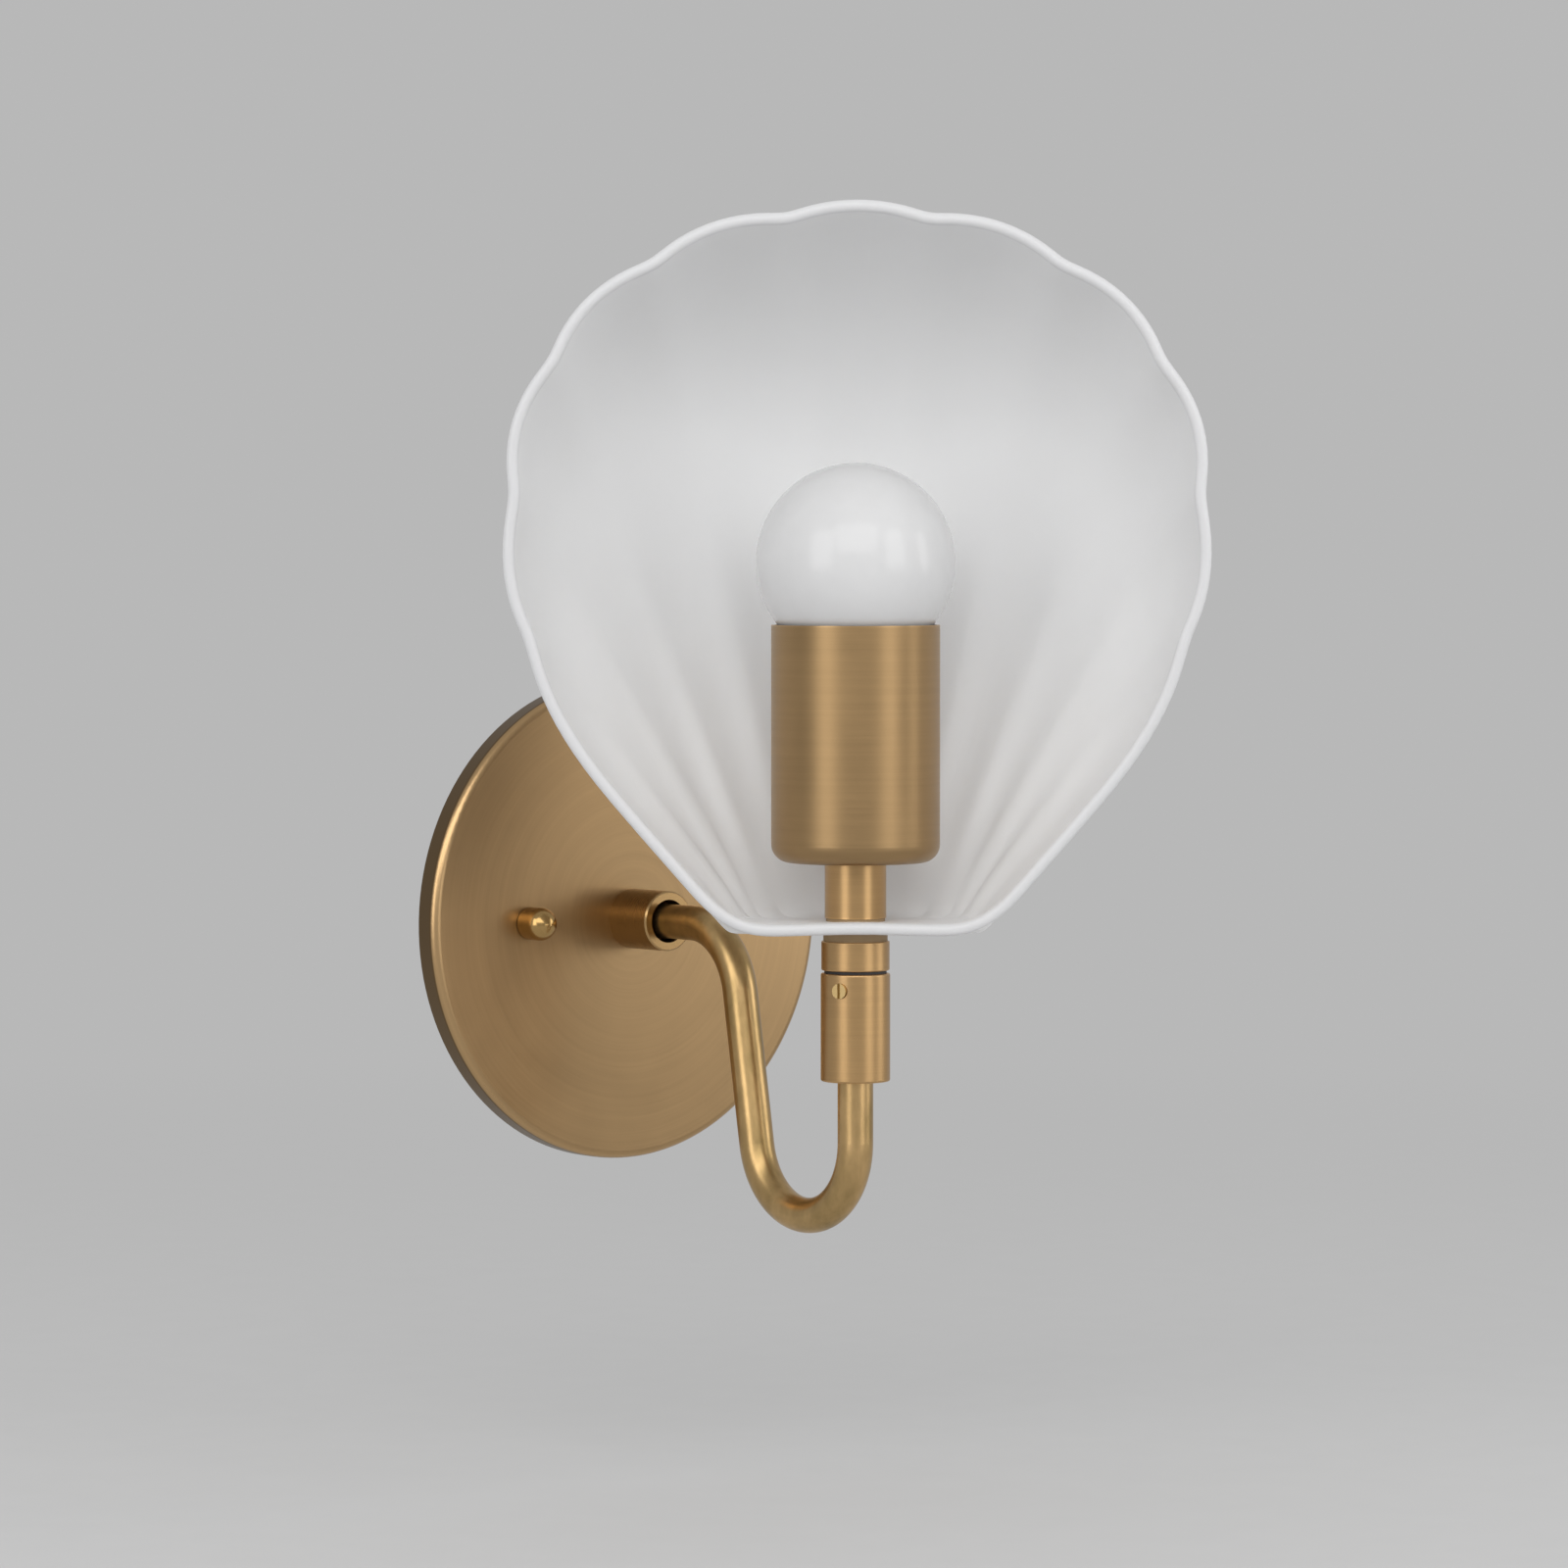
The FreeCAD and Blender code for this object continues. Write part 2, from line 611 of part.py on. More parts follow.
def make_arm_nipple():
    spigot = d.tube_diameter / 2 - d.tube_wall - d.rod_play
    bore = d.nipple_bore / 2
    bushed = bore + d.bushing_wall
    nipple = turned("arm_nipple", [
        (bushed, d.nipple_rear),
        (rod_radius, d.nipple_rear),
        (rod_radius, d.nipple_shoulder),
        (spigot, d.nipple_shoulder),
        (spigot, d.nipple_shoulder + d.spigot_length),
        (bore, d.nipple_shoulder + d.spigot_length),
        (bore, d.nipple_rear + d.bushing_length),
        (bushed, d.nipple_rear + d.bushing_length),
    ])
    on_wall(nipple)
    bushing = turned("nipple_bushing", [
        (bore, d.nipple_rear - d.bushing_flange),
        (rod_radius, d.nipple_rear - d.bushing_flange),
        (rod_radius, d.nipple_rear),
        (bushed - d.rod_play, d.nipple_rear),
        (bushed - d.rod_play, d.nipple_rear + d.bushing_length),
        (bore, d.nipple_rear + d.bushing_length),
    ])
    on_wall(bushing)


def make_ground():
    half_tail = d.ground_wire
    ring = cylinder("terminal_disc", d.terminal_diameter / 2, d.terminal_thickness)
    tail_end = d.terminal_diameter / 2 + d.terminal_tail
    tail = box("terminal_tail", tail_end, half_tail * 2, d.terminal_thickness, x=0.0)
    hole = cylinder("terminal_hole", rod_hole, d.terminal_thickness)
    solid = fused("terminal_solid", [ring, tail])
    on_wall(keep(cut("terminal_cut", solid, [hole]), "ground_terminal"), depth=terminal_back)

    shank = cylinder("ground_shank", d.ground_screw_diameter / 2, d.strap_thickness)
    head = cylinder("ground_head", d.ground_head_diameter / 2, d.ground_head_height, z=d.strap_thickness)
    slot = box(
        "ground_slot", d.ground_head_diameter, d.lock_screw_slot, d.ground_head_height / 2,
        z=d.strap_thickness + d.ground_head_height / 2,
    )
    screw = cut("ground_screw_cut", fused("ground_screw_solid", [shank, head]), [slot])
    on_wall(keep(screw, "ground_screw"), x=d.ground_screw_place)

    # The earth lead rises from beside the screw's head to the terminal's tail.
    body = doc.addObject("PartDesign::Body", "ground_lead")
    path = sketch_on(body, "XZ_Plane", "ground_lead_path")
    wire = d.ground_wire / 2
    low = d.strap_thickness + wire
    high = terminal_back - wire
    start = d.ground_screw_place - d.ground_head_diameter / 2
    finish = d.terminal_diameter / 2 + d.terminal_tail / 2
    ends = [
        (start, low), (start - d.ground_wire, low),
        (finish + d.ground_wire, high), (finish, high),
    ]
    for i in range(3):
        first = Vector(ends[i][0].value, ends[i][1].value, 0)
        second = Vector(ends[i + 1][0].value, ends[i + 1][1].value, 0)
        path.addGeometry(Part.LineSegment(first, second))
        constrain(path, "DistanceX", -1, 1, i, 1, size=ends[i][0], name=f"across{i}")
        constrain(path, "DistanceY", -1, 1, i, 1, size=ends[i][1], name=f"up{i}")
    constrain(path, "DistanceX", -1, 1, 2, 2, size=ends[3][0], name="across3")
    constrain(path, "DistanceY", -1, 1, 2, 2, size=ends[3][1], name="up3")
    constrain(path, "Coincident", 0, 2, 1, 1)
    constrain(path, "Coincident", 1, 2, 2, 1)
    section = sketch_on(body, "YZ_Plane", "ground_lead_section")
    bind(section, "AttachmentOffset.Base.z", start)
    circle = section.addGeometry(Part.Circle(Vector(0, low.value, 0), Vector(0, 0, 1), wire.value))
    constrain(section, "PointOnObject", circle, 3, -2)
    constrain(section, "DistanceY", -1, 1, circle, 3, size=low, name="up")
    constrain(section, "Radius", circle, size=wire, name="radius")
    pipe = body.newObject("PartDesign::AdditivePipe", "ground_lead_pipe")
    pipe.Profile = section
    pipe.Spine = (path, [f"Edge{i}" for i in (1, 2, 3)])
    pipe.Transition = "Round corner"
    doc.recompute()
    on_wall(keep(body, "ground_lead"))


# ---------------------------------------------------------------------------
# The bent arm and the leads inside it
# ---------------------------------------------------------------------------
def arm_path(body, name, start, top):
    """The arm's centre line: out of the wall, down the leaning leg, round and up.

    In the sketch, across is the distance from the wall and up is measured from the lowest
    point of the line. The line runs from the swivel body back to the wall.
    """
    path = sketch_on(body, "YZ_Plane", name)
    tilt = math.radians(d.leg_tilt.value)
    turn = d.bend_radius.value
    reach = d.reach.value
    drop = d.arm_drop.value
    out = Vector(math.cos(tilt), math.sin(tilt), 0)
    along = Vector(-math.sin(tilt), math.cos(tilt), 0)
    low_centre = Vector(reach - turn, turn, 0)
    leg_foot = low_centre - out * turn
    rise = (drop - turn + turn * math.sin(tilt) - leg_foot.y) / along.y
    leg_head = leg_foot + along * rise
    high_centre = leg_head - out * turn
    up = Vector(0, 0, 1)
    path.addGeometry(Part.LineSegment(Vector(reach, top.value, 0), Vector(reach, turn, 0)))
    path.addGeometry(Part.ArcOfCircle(Part.Circle(low_centre, up, turn), math.pi + tilt, 2 * math.pi))
    path.addGeometry(Part.LineSegment(leg_foot, leg_head))
    path.addGeometry(Part.ArcOfCircle(Part.Circle(high_centre, up, turn), tilt, math.pi / 2))
    path.addGeometry(Part.LineSegment(Vector(high_centre.x, drop, 0), Vector(start.value, drop, 0)))
    riser, low_bend, leg, high_bend, run = range(5)
    constrain(path, "Tangent", riser, 2, low_bend, 2)
    constrain(path, "Tangent", leg, 1, low_bend, 1)
    constrain(path, "Tangent", leg, 2, high_bend, 1)
    constrain(path, "Tangent", run, 1, high_bend, 2)
    constrain(path, "Vertical", riser)
    constrain(path, "Horizontal", run)
    constrain(path, "Radius", low_bend, size=d.bend_radius, name="low_bend")
    constrain(path, "Radius", high_bend, size=d.bend_radius, name="high_bend")
    constrain(path, "DistanceX", -1, 1, riser, 1, size=d.reach, name="reach")
    constrain(path, "DistanceY", -1, 1, riser, 1, size=top, name="top")
    constrain(path, "DistanceY", -1, 1, low_bend, 3, size=d.bend_radius, name="low_centre")
    constrain(path, "DistanceY", -1, 1, run, 2, size=d.arm_drop, name="drop")
    constrain(path, "DistanceX", -1, 1, run, 2, size=start, name="start")
    lean = Size(math.pi / 2 + tilt, f"(90 deg + {d.leg_tilt.formula} * 1 deg)")
    constrain(path, "Angle", leg, size=lean, name="lean")
    return path


def swept_along_arm(node, start, top, circles, sideways=0.0):
    """Circles of the given radii swept along the arm's centre line."""
    sideways = as_size(sideways)
    body = doc.addObject("PartDesign::Body", node)
    path = arm_path(body, f"{node}_path", start, top)
    bind(path, "AttachmentOffset.Base.z", sideways)
    section = sketch_on(body, "XY_Plane", f"{node}_section")
    bind(section, "AttachmentOffset.Base.z", top)
    for index, radius in enumerate(circles):
        centre = Vector(sideways.value, d.reach.value, 0)
        circle = section.addGeometry(Part.Circle(centre, Vector(0, 0, 1), radius.value))
        constrain(section, "DistanceX", -1, 1, circle, 3, size=sideways, name=f"side{index}")
        constrain(section, "DistanceY", -1, 1, circle, 3, size=d.reach, name=f"reach{index}")
        constrain(section, "Radius", circle, size=radius, name=f"radius{index}")
    pipe = body.newObject("PartDesign::AdditivePipe", f"{node}_pipe")
    pipe.Profile = section
    pipe.Spine = (path, [f"Edge{i}" for i in (1, 2, 3, 4, 5)])
    doc.recompute()
    body.Placement = Placement(Vector(0, 0, 0), Rotation(Vector(0, 0, 1), 180))
    bind(body, "Placement.Base.z", -d.arm_drop)
    return keep(body, node)


def make_arm():
    tube_top = d.arm_drop - d.swivel_bottom + d.tube_insertion
    outer = d.tube_diameter / 2
    swept_along_arm("arm_tube", d.nipple_shoulder, tube_top, [outer, outer - d.tube_wall])
    lead_top = d.arm_drop + stud_base - d.rod_play
    lead_start = d.nipple_rear - d.lead_tail
    for node, side in (("arm_lead_black", 1), ("arm_lead_white", -1)):
        swept_along_arm(node, lead_start, lead_top, [d.lead_diameter / 2], d.lead_offset * side)


# ---------------------------------------------------------------------------
# The swivel
# ---------------------------------------------------------------------------
def make_swivel_body():
    outer = d.swivel_diameter / 2
    tube_hole = d.tube_diameter / 2 + d.rod_play
    bore_floor = d.swivel_height - d.swivel_bore_depth
    body = turned("swivel_body", [
        (tube_hole, 0.0),
        (outer, 0.0),
        (outer, d.swivel_height),
        (rod_hole, d.swivel_height),
        (rod_hole, bore_floor),
        (d.swivel_wire_way / 2, bore_floor),
        (d.swivel_wire_way / 2, d.tube_insertion),
        (tube_hole, d.tube_insertion),
    ])
    rounded(body, d.swivel_edge, [(outer, 0.0), (outer, d.swivel_height)])
    sketch = sketch_on(body, "XZ_Plane", "lock_screw_hole")
    level = d.swivel_height - d.lock_screw_depth
    radius = d.lock_screw_diameter / 2 + d.lock_screw_play
    circle = sketch.addGeometry(Part.Circle(Vector(0, level.value, 0), Vector(0, 0, 1), radius.value))
    constrain(sketch, "PointOnObject", circle, 3, -2)
    constrain(sketch, "DistanceY", -1, 1, circle, 3, size=level, name="level")
    constrain(sketch, "Radius", circle, size=radius, name="radius")
    before = body.Shape.Volume
    pocket = body.newObject("PartDesign::Pocket", "lock_screw_pocket")
    pocket.Profile = sketch
    pocket.Type = "Length"
    bind(pocket, "Length", d.swivel_diameter)
    pocket.Reversed = True
    doc.recompute()
    if before - body.Shape.Volume < 1.0:
        raise RuntimeError("the lock screw's hole cuts nothing")
    body.Placement = Placement(Vector(0, 0, 0), Rotation(Vector(0, 0, 1), 1))
    bind(body, "Placement.Base.y", -d.reach)
    bind(body, "Placement.Base.z", swivel_base)
    bind(body, "Placement.Rotation.Angle", -d.lock_screw_angle)


def make_lock_screw():
    tip = rod_radius - d.groove_depth + d.groove_tip_play
    length = d.swivel_diameter / 2 + d.lock_screw_proud - tip
    shank = cylinder("lock_screw_shank", d.lock_screw_diameter / 2, length, z=tip)
    slot = box(
        "lock_screw_slot_cut", d.lock_screw_slot, d.lock_screw_diameter, d.lock_screw_slot,
        z=tip + length - d.lock_screw_slot,
    )
    screw = keep(cut("lock_screw_cut", shank, [slot]), "lock_screw")
    # Its own Z points out of the swivel body, to the side that the sheet's angle gives.
    lay_down = Rotation(Vector(1, 0, 0), 90)
    turn = Rotation(Vector(0, 0, 1), -d.lock_screw_angle.value)
    screw.Placement = Placement(Vector(0, 0, 0), turn.multiply(lay_down))
    bind(screw, "Placement.Base.y", -d.reach)
    bind(screw, "Placement.Base.z", lock_level)


def make_swivel_stack():
    groove_half = d.lock_screw_diameter / 2 + d.groove_side_play
    groove_level = lock_level - stud_base
    groove_radius = rod_radius - d.groove_depth
    stud_length = porcelain_base - stud_base
    bore = d.stud_bore / 2
    stud = turned("swivel_stud", [
        (bore, 0.0),
        (rod_radius, 0.0),
        (rod_radius, groove_level - groove_half),
        (groove_radius, groove_level - groove_half),
        (groove_radius, groove_level + groove_half),
        (rod_radius, groove_level + groove_half),
        (rod_radius, stud_length),
        (bore, stud_length),
    ])
    on_stem(stud, stud_base)

    washer = turned("swivel_washer", tube(
        d.swivel_diameter / 2 - d.washer_inset, rod_hole, as_size(0.0), d.joint_gap,
    ))
    on_stem(washer, swivel_top)

    outer = d.ring_diameter / 2
    ring = turned("seat_ring", tube(outer, rod_hole, as_size(0.0), d.ring_height))
    rounded(ring, d.ring_edge, [(outer, 0.0), (outer, d.ring_height)])
    on_stem(ring, ring_base)

    lower = tube(d.gasket_diameter / 2, rod_hole, as_size(0.0), d.lower_gasket_thickness)
    on_stem(turned("lower_gasket", lower), lower_gasket_base)
    upper_radius = d.stem_diameter / 2 - d.stem_gasket_inset
    upper = tube(upper_radius, rod_hole, as_size(0.0), d.upper_gasket_thickness)
    on_stem(turned("upper_gasket", upper), upper_gasket_base)

    stem_inner = d.stem_diameter / 2 - d.stem_wall
    stem = tube(d.stem_diameter / 2, stem_inner, as_size(0.0), d.stem_height)
    on_stem(turned("stem_tube", stem), stem_base)


# ---------------------------------------------------------------------------
# The socket cup and the lampholder
# ---------------------------------------------------------------------------
def make_socket_cup():
    cup = turned("socket_cup", [
        (rod_hole, 0.0),
        (cup_outer, 0.0),
        (cup_outer, cup_height),
        (cup_inner, cup_height),
        (cup_inner, d.cup_floor),
        (rod_hole, d.cup_floor),
    ])
    rounded(cup, d.cup_corner, [(cup_outer, 0.0)])
    rounded(cup, d.cup_corner - d.cup_wall, [(cup_inner, d.cup_floor)])
    on_stem(cup, cup_base)
    washer = tube(d.cup_washer_diameter / 2, rod_hole, as_size(0.0), d.cup_washer_thickness)
    on_stem(turned("cup_washer", washer), cup_inside)
    on_stem(hex_nut("cup_nut", d.cup_nut_height, rod_hole), cup_nut_base)


def make_lampholder():
    plate = cylinder("cap_plate", d.cap_plate_diameter / 2, d.cap_plate_thickness, z=d.cap_boss_height)
    boss = cylinder("cap_boss", d.cap_boss_diameter / 2, d.cap_boss_height)
    reach_up = d.cap_boss_height + d.cap_plate_thickness
    tools = [cylinder("cap_bore", rod_hole, reach_up)]
    screw_radius = d.cap_screw_diameter / 2
    screws = []
    for side, name in ((1, "rear"), (-1, "front")):
        place = d.cap_screw_spacing / 2 * side
        tools.append(cylinder(
            f"cap_screw_hole_{name}", screw_radius + d.rod_play, reach_up, y=place,
        ))
        shank = cylinder(
            f"socket_screw_shank_{name}", screw_radius, d.cap_plate_thickness + d.cap_screw_length,
            y=place, z=d.cap_boss_height,
        )
        head = cylinder(
            f"socket_screw_head_{name}", d.cap_screw_head / 2, d.cap_screw_head_height,
            y=place, z=d.cap_boss_height - d.cap_screw_head_height,
        )
        screws.append(fused(f"socket_screw_{name}", [shank, head]))
    cap = cut("socket_cap_cut", fused("socket_cap_solid", [plate, boss]), tools)
    on_stem(keep(cap, "socket_cap"), cap_boss_base, turned=True)
    on_stem(pair("socket_screws", screws), cap_boss_base, turned=True)

    body = turned("porcelain_round", [
        (0.0, 0.0),
        (d.porcelain_diameter / 2, 0.0),
        (d.porcelain_diameter / 2, d.porcelain_height),
        (d.porcelain_bore / 2, d.porcelain_height),
        (d.porcelain_bore / 2, d.recess_depth + d.porcelain_web),
        (0.0, d.recess_depth + d.porcelain_web),
    ])
    del nodes["porcelain_round"]
    rounded(body, d.porcelain_edge, [
        (d.porcelain_diameter / 2, d.porcelain_height),
        (d.porcelain_bore / 2, d.porcelain_height),
    ])
    recess = box("wire_recess", d.recess_length, d.recess_width, d.recess_depth)
    tools = [recess]
    screw_hole = d.terminal_screw_diameter / 2 + d.rod_play
    for name, place in (("hot", d.hot_terminal_place), ("neutral", -d.neutral_terminal_place)):
        tools.append(cylinder(
            f"terminal_hole_{name}", screw_hole, d.porcelain_web, x=place, z=d.recess_depth,
        ))
    for side, name in ((1, "rear"), (-1, "front")):
        tools.append(cylinder(
            f"porcelain_screw_{name}", screw_radius + d.rod_play, d.cap_screw_length + d.rod_play,
            y=d.cap_screw_spacing / 2 * side,
        ))
    porcelain = cut("porcelain_cut", body, tools)
    on_stem(keep(porcelain, "socket_body"), porcelain_base, turned=True)


def ripple(radius, depth, pitch, low, high, outwards):
    """Corners of a rolled thread drawn as rings, going from low to high."""
    corners = []
    turns = int((high.value - low.value) // pitch.value)
    for turn in range(turns):
        foot = low + pitch * turn
        crest = radius + depth if outwards else radius - depth
        corners.append((radius, foot))
        corners.append((crest, foot + pitch / 2))
    corners.append((radius, low + pitch * turns))
    return corners


def make_socket_metal():
    outer = d.porcelain_bore / 2 - d.rod_play * 2
    inner = outer - d.screw_shell_sheet
    flange = outer - d.screw_shell_flange
    foot = d.thread_pitch / 2
    outside = ripple(outer, d.thread_depth, d.thread_pitch, foot, d.screw_shell_height, False)
    inside = ripple(inner, d.thread_depth, d.thread_pitch, foot, d.screw_shell_height, False)
    shell = turned("threaded_sleeve", [(flange, 0.0), (outer, 0.0)] + outside + [
        (outer, d.screw_shell_height),
        (inner, d.screw_shell_height),
    ] + inside[::-1] + [
        (inner, d.screw_shell_sheet),
        (flange, d.screw_shell_sheet),
    ])
    del nodes["threaded_sleeve"]
    hole = cylinder(
        "sleeve_screw_hole", d.terminal_screw_diameter / 2 + d.rod_play, d.screw_shell_sheet,
        x=-d.neutral_terminal_place,
    )
    sleeve = keep(cut("screw_shell_cut", shell, [hole]), "screw_shell")
    on_stem(sleeve, lamp_floor, turned=True)

    strip_end = d.hot_terminal_place + d.terminal_screw_diameter
    strip = box(
        "contact_strip", strip_end + d.contact_width / 2, d.contact_width, d.contact_sheet,
        x=-d.contact_width / 2,
    )
    button = cylinder("contact_button_disc", d.contact_button / 2, d.contact_sheet + d.contact_rise)
    screw_hole = cylinder(
        "strip_screw_hole", d.terminal_screw_diameter / 2 + d.rod_play, d.contact_sheet,
        x=d.hot_terminal_place,
    )
    contact = cut("contact_cut", fused("contact_solid", [strip, button]), [screw_hole])
    on_stem(keep(contact, "centre_contact"), lamp_floor, turned=True)

    screws = []
    head_top = d.recess_depth - d.terminal_grip
    reach_up = d.porcelain_web + d.terminal_grip + d.contact_sheet
    for name, place in (("hot", d.hot_terminal_place), ("neutral", -d.neutral_terminal_place)):
        head = cylinder(
            f"terminal_head_{name}", d.terminal_head_diameter / 2, d.terminal_head_height,
            x=place, z=head_top - d.terminal_head_height,
        )
        shank = cylinder(
            f"terminal_shank_{name}", d.terminal_screw_diameter / 2, reach_up, x=place, z=head_top,
        )
        screws.append(fused(f"terminal_screw_{name}", [head, shank]))
    on_stem(pair("terminal_screws", screws), porcelain_base, turned=True)


def make_stem_leads():
    """Each lead rises through the stud and bends out to its terminal screw."""
    head_edge = d.terminal_head_diameter / 2 + d.rod_play
    level = recess_top - d.lead_diameter / 2 - d.rod_play - stud_base
    for node, side, place in (
        ("stem_lead_black", 1, d.hot_terminal_place),
        ("stem_lead_white", -1, d.neutral_terminal_place),
    ):
        body = doc.addObject("PartDesign::Body", node)
        path = sketch_on(body, "XZ_Plane", f"{node}_path")
        offset = d.lead_offset
        end = place - head_edge
        turn = d.lead_bend
        centre = Vector(offset.value + turn.value, level.value - turn.value, 0)
        path.addGeometry(Part.LineSegment(Vector(offset.value, 0, 0), Vector(offset.value, centre.y, 0)))
        path.addGeometry(Part.ArcOfCircle(
            Part.Circle(centre, Vector(0, 0, 1), turn.value), math.pi / 2, math.pi,
        ))
        path.addGeometry(Part.LineSegment(
            Vector(centre.x, level.value, 0), Vector(end.value, level.value, 0),
        ))
        riser, bend, run = range(3)
        constrain(path, "Tangent", riser, 2, bend, 2)
        constrain(path, "Tangent", run, 1, bend, 1)
        constrain(path, "Vertical", riser)
        constrain(path, "Horizontal", run)
        constrain(path, "PointOnObject", riser, 1, -1)
        constrain(path, "DistanceX", -1, 1, riser, 1, size=offset, name="offset")
        constrain(path, "Radius", bend, size=turn, name="bend")
        constrain(path, "DistanceY", -1, 1, run, 2, size=level, name="level")
        constrain(path, "DistanceX", -1, 1, run, 2, size=end, name="end")
        section = sketch_on(body, "XY_Plane", f"{node}_section")
        radius = d.lead_diameter / 2
        circle = section.addGeometry(Part.Circle(Vector(offset.value, 0, 0), Vector(0, 0, 1), radius.value))
        constrain(section, "PointOnObject", circle, 3, -1)
        constrain(section, "DistanceX", -1, 1, circle, 3, size=offset, name="offset")
        constrain(section, "Radius", circle, size=radius, name="radius")
        pipe = body.newObject("PartDesign::AdditivePipe", f"{node}_pipe")
        pipe.Profile = section
        pipe.Spine = (path, [f"Edge{i}" for i in (1, 2, 3)])
        doc.recompute()
        keep(body, node)
        on_stem(body, stud_base)
        facing = -d.shade_yaw if side > 0 else as_size(180.0) - d.shade_yaw
        bind(body, "Placement.Rotation.Angle", facing)


# ---------------------------------------------------------------------------
# The lamp
# ---------------------------------------------------------------------------
def make_lamp():
    inner = globe_radius - d.globe_glass
    inner_join = d.lamp_neck_round + d.globe_glass
    inner_neck = neck_radius - d.globe_glass
    share = globe_radius / round_reach
    inner_share = inner / (inner + inner_join)
    glass = turned("bulb_glass", [
        (inner_neck, lamp_base_top),
        (neck_radius, lamp_base_top),
        (neck_radius, neck_top, Bow(d.lamp_neck_round, True)),
        (round_across * share, globe_level - round_rise * share, Bow(globe_radius, False)),
        (0.0, globe_level + globe_radius),
        (0.0, globe_level + inner, Bow(inner, True)),
        (round_across * inner_share, globe_level - round_rise * inner_share, Bow(inner_join, False)),
        (inner_neck, neck_top),
    ])
    on_stem(glass, tip_base)

    outer = d.lamp_base_diameter / 2
    root = outer - d.thread_depth
    collar = d.lamp_base_sheet * 2
    inside = root - d.lamp_base_sheet
    low = lamp_base_foot + collar
    high = lamp_base_top - collar
    threads = ripple(root, d.thread_depth, d.thread_pitch, low, high, True)
    base = turned("bulb_base", [(inside, lamp_base_foot), (root, lamp_base_foot)] + threads + [
        (root, lamp_base_top), (inside, lamp_base_top),
    ])
    on_stem(base, tip_base)

    insulator = turned("bulb_insulator", [
        (0.0, insulator_base),
        (d.tip_diameter / 2 + d.lamp_base_sheet, insulator_base),
        (d.insulator_diameter / 2, lamp_base_foot),
        (inside, lamp_base_foot),
        (inside, lamp_base_foot + d.insulator_height),
        (0.0, lamp_base_foot + d.insulator_height),
    ])
    on_stem(insulator, tip_base)
    tip = turned("bulb_contact", [
        (0.0, 0.0),
        (d.tip_diameter / 2 - d.tip_height, 0.0),
        (d.tip_diameter / 2, insulator_base),
        (0.0, insulator_base),
    ])
    on_stem(tip, tip_base)


# ---------------------------------------------------------------------------
# The glass shell
# ---------------------------------------------------------------------------
# Seen from the front, every flute runs in a straight line from the floor's edge to the rim.
# One section of the glass goes from the stud's hole, along the floor, up the back and
# forward to the rim. The sections go once round, and the lip's sections stay on the floor.
FLUTE_POLE_COUNT = 8
SECTION_POLE_COUNT = 30
OUTLINE_STEPS = 240
FLOOR_SPREAD = 2.3      # how quickly the floor's edge spreads towards its corners
FLOOR_SQUARENESS = 2.5  # 2 would make the floor's edge an ellipse
BACK_FALLOFF = 1.8      # how quickly the depth of the back fades towards the corners
EDGE_TURN_SHARE = 0.25  # height share over which the side walls turn forward
LIP_ROOM = 0.55         # where the lip's middle leaves the floor, between hole and rim
HOLE_SHARE = 0.8        # innermost control points, well inside the drilled hole
FLUTE_POWER = 0.85      # below 1 fattens the flutes and sharpens the valleys
LONG_FLUTE_RISE = 2.0   # the last flute reaches its full height halfway
RIM_SWELL = 0.6         # how far the rounded rim stands forward, in glass thicknesses
# How deep the valleys are along a section: (share of its length from the hole, strength).
# They start at the floor's edge, are faint halfway up and strongest at the rim.
FLUTE_STRENGTH = [(0.0, 0.0), (0.13, 0.0), (0.32, 0.65), (0.68, 0.4), (1.0, 1.0)]


def superellipse_quarter(half_width, rise, fullness, steps):
    """From the top of the outline to its widest place."""
    points = []
    for i in range(steps + 1):
        angle = math.pi / 2 * i / steps
        across = half_width * math.sin(angle) ** (2 / fullness)
        up = rise * math.cos(angle) ** (2 / fullness) if i < steps else 0.0
        points.append((across, up))
    return points


def bezier_point(controls, at):
    """A point of the Bezier curve with the given control points."""
    points = [Vector(point) for point in controls]
    while len(points) > 1:
        points = [first * (1 - at) + second * at for first, second in zip(points, points[1:])]
    return points[0]


def half_rim_outline():
    """The right half of the rim, as (across, up), from the top to the middle of the lip."""
    half_width = d.shell_width.value / 2
    widest = d.shell_widest_height.value
    steps = OUTLINE_STEPS
    upper = superellipse_quarter(half_width, d.shell_height.value - widest, d.shell_shoulder.value, steps)
    outline = [(across, widest + up) for across, up in upper]
    lean = math.radians(d.shell_taper_angle.value)
    corner = Vector(d.shell_corner_width.value / 2, d.shell_corner_height.value, 0)
    slope = Vector(math.sin(lean), math.cos(lean), 0)
    side = [
        Vector(half_width, widest, 0),
        Vector(half_width, widest - d.shell_side_drop.value, 0),
        corner + slope * d.shell_side_rise.value,
        corner,
    ]
    toe = Vector(d.shell_lip_width.value / 2, 0, 0)
    meet = Vector(corner.x - corner.y * math.tan(lean), 0, 0)
    bend = [corner, meet, toe]
    for controls in (side, bend):
        for i in range(1, steps + 1):
            point = bezier_point(controls, i / steps)
            outline.append((point.x, point.y))
    for i in range(1, steps + 1):
        share = i / steps
        lift = d.shell_lip_rise.value * (1 - math.cos(math.pi * share)) / 2
        outline.append((toe.x * (1 - share), lift))
    return outline


def lengths_along(outline):
    totals = [0.0]
    for (x0, y0), (x1, y1) in zip(outline, outline[1:]):
        totals.append(totals[-1] + math.hypot(x1 - x0, y1 - y0))
    return totals


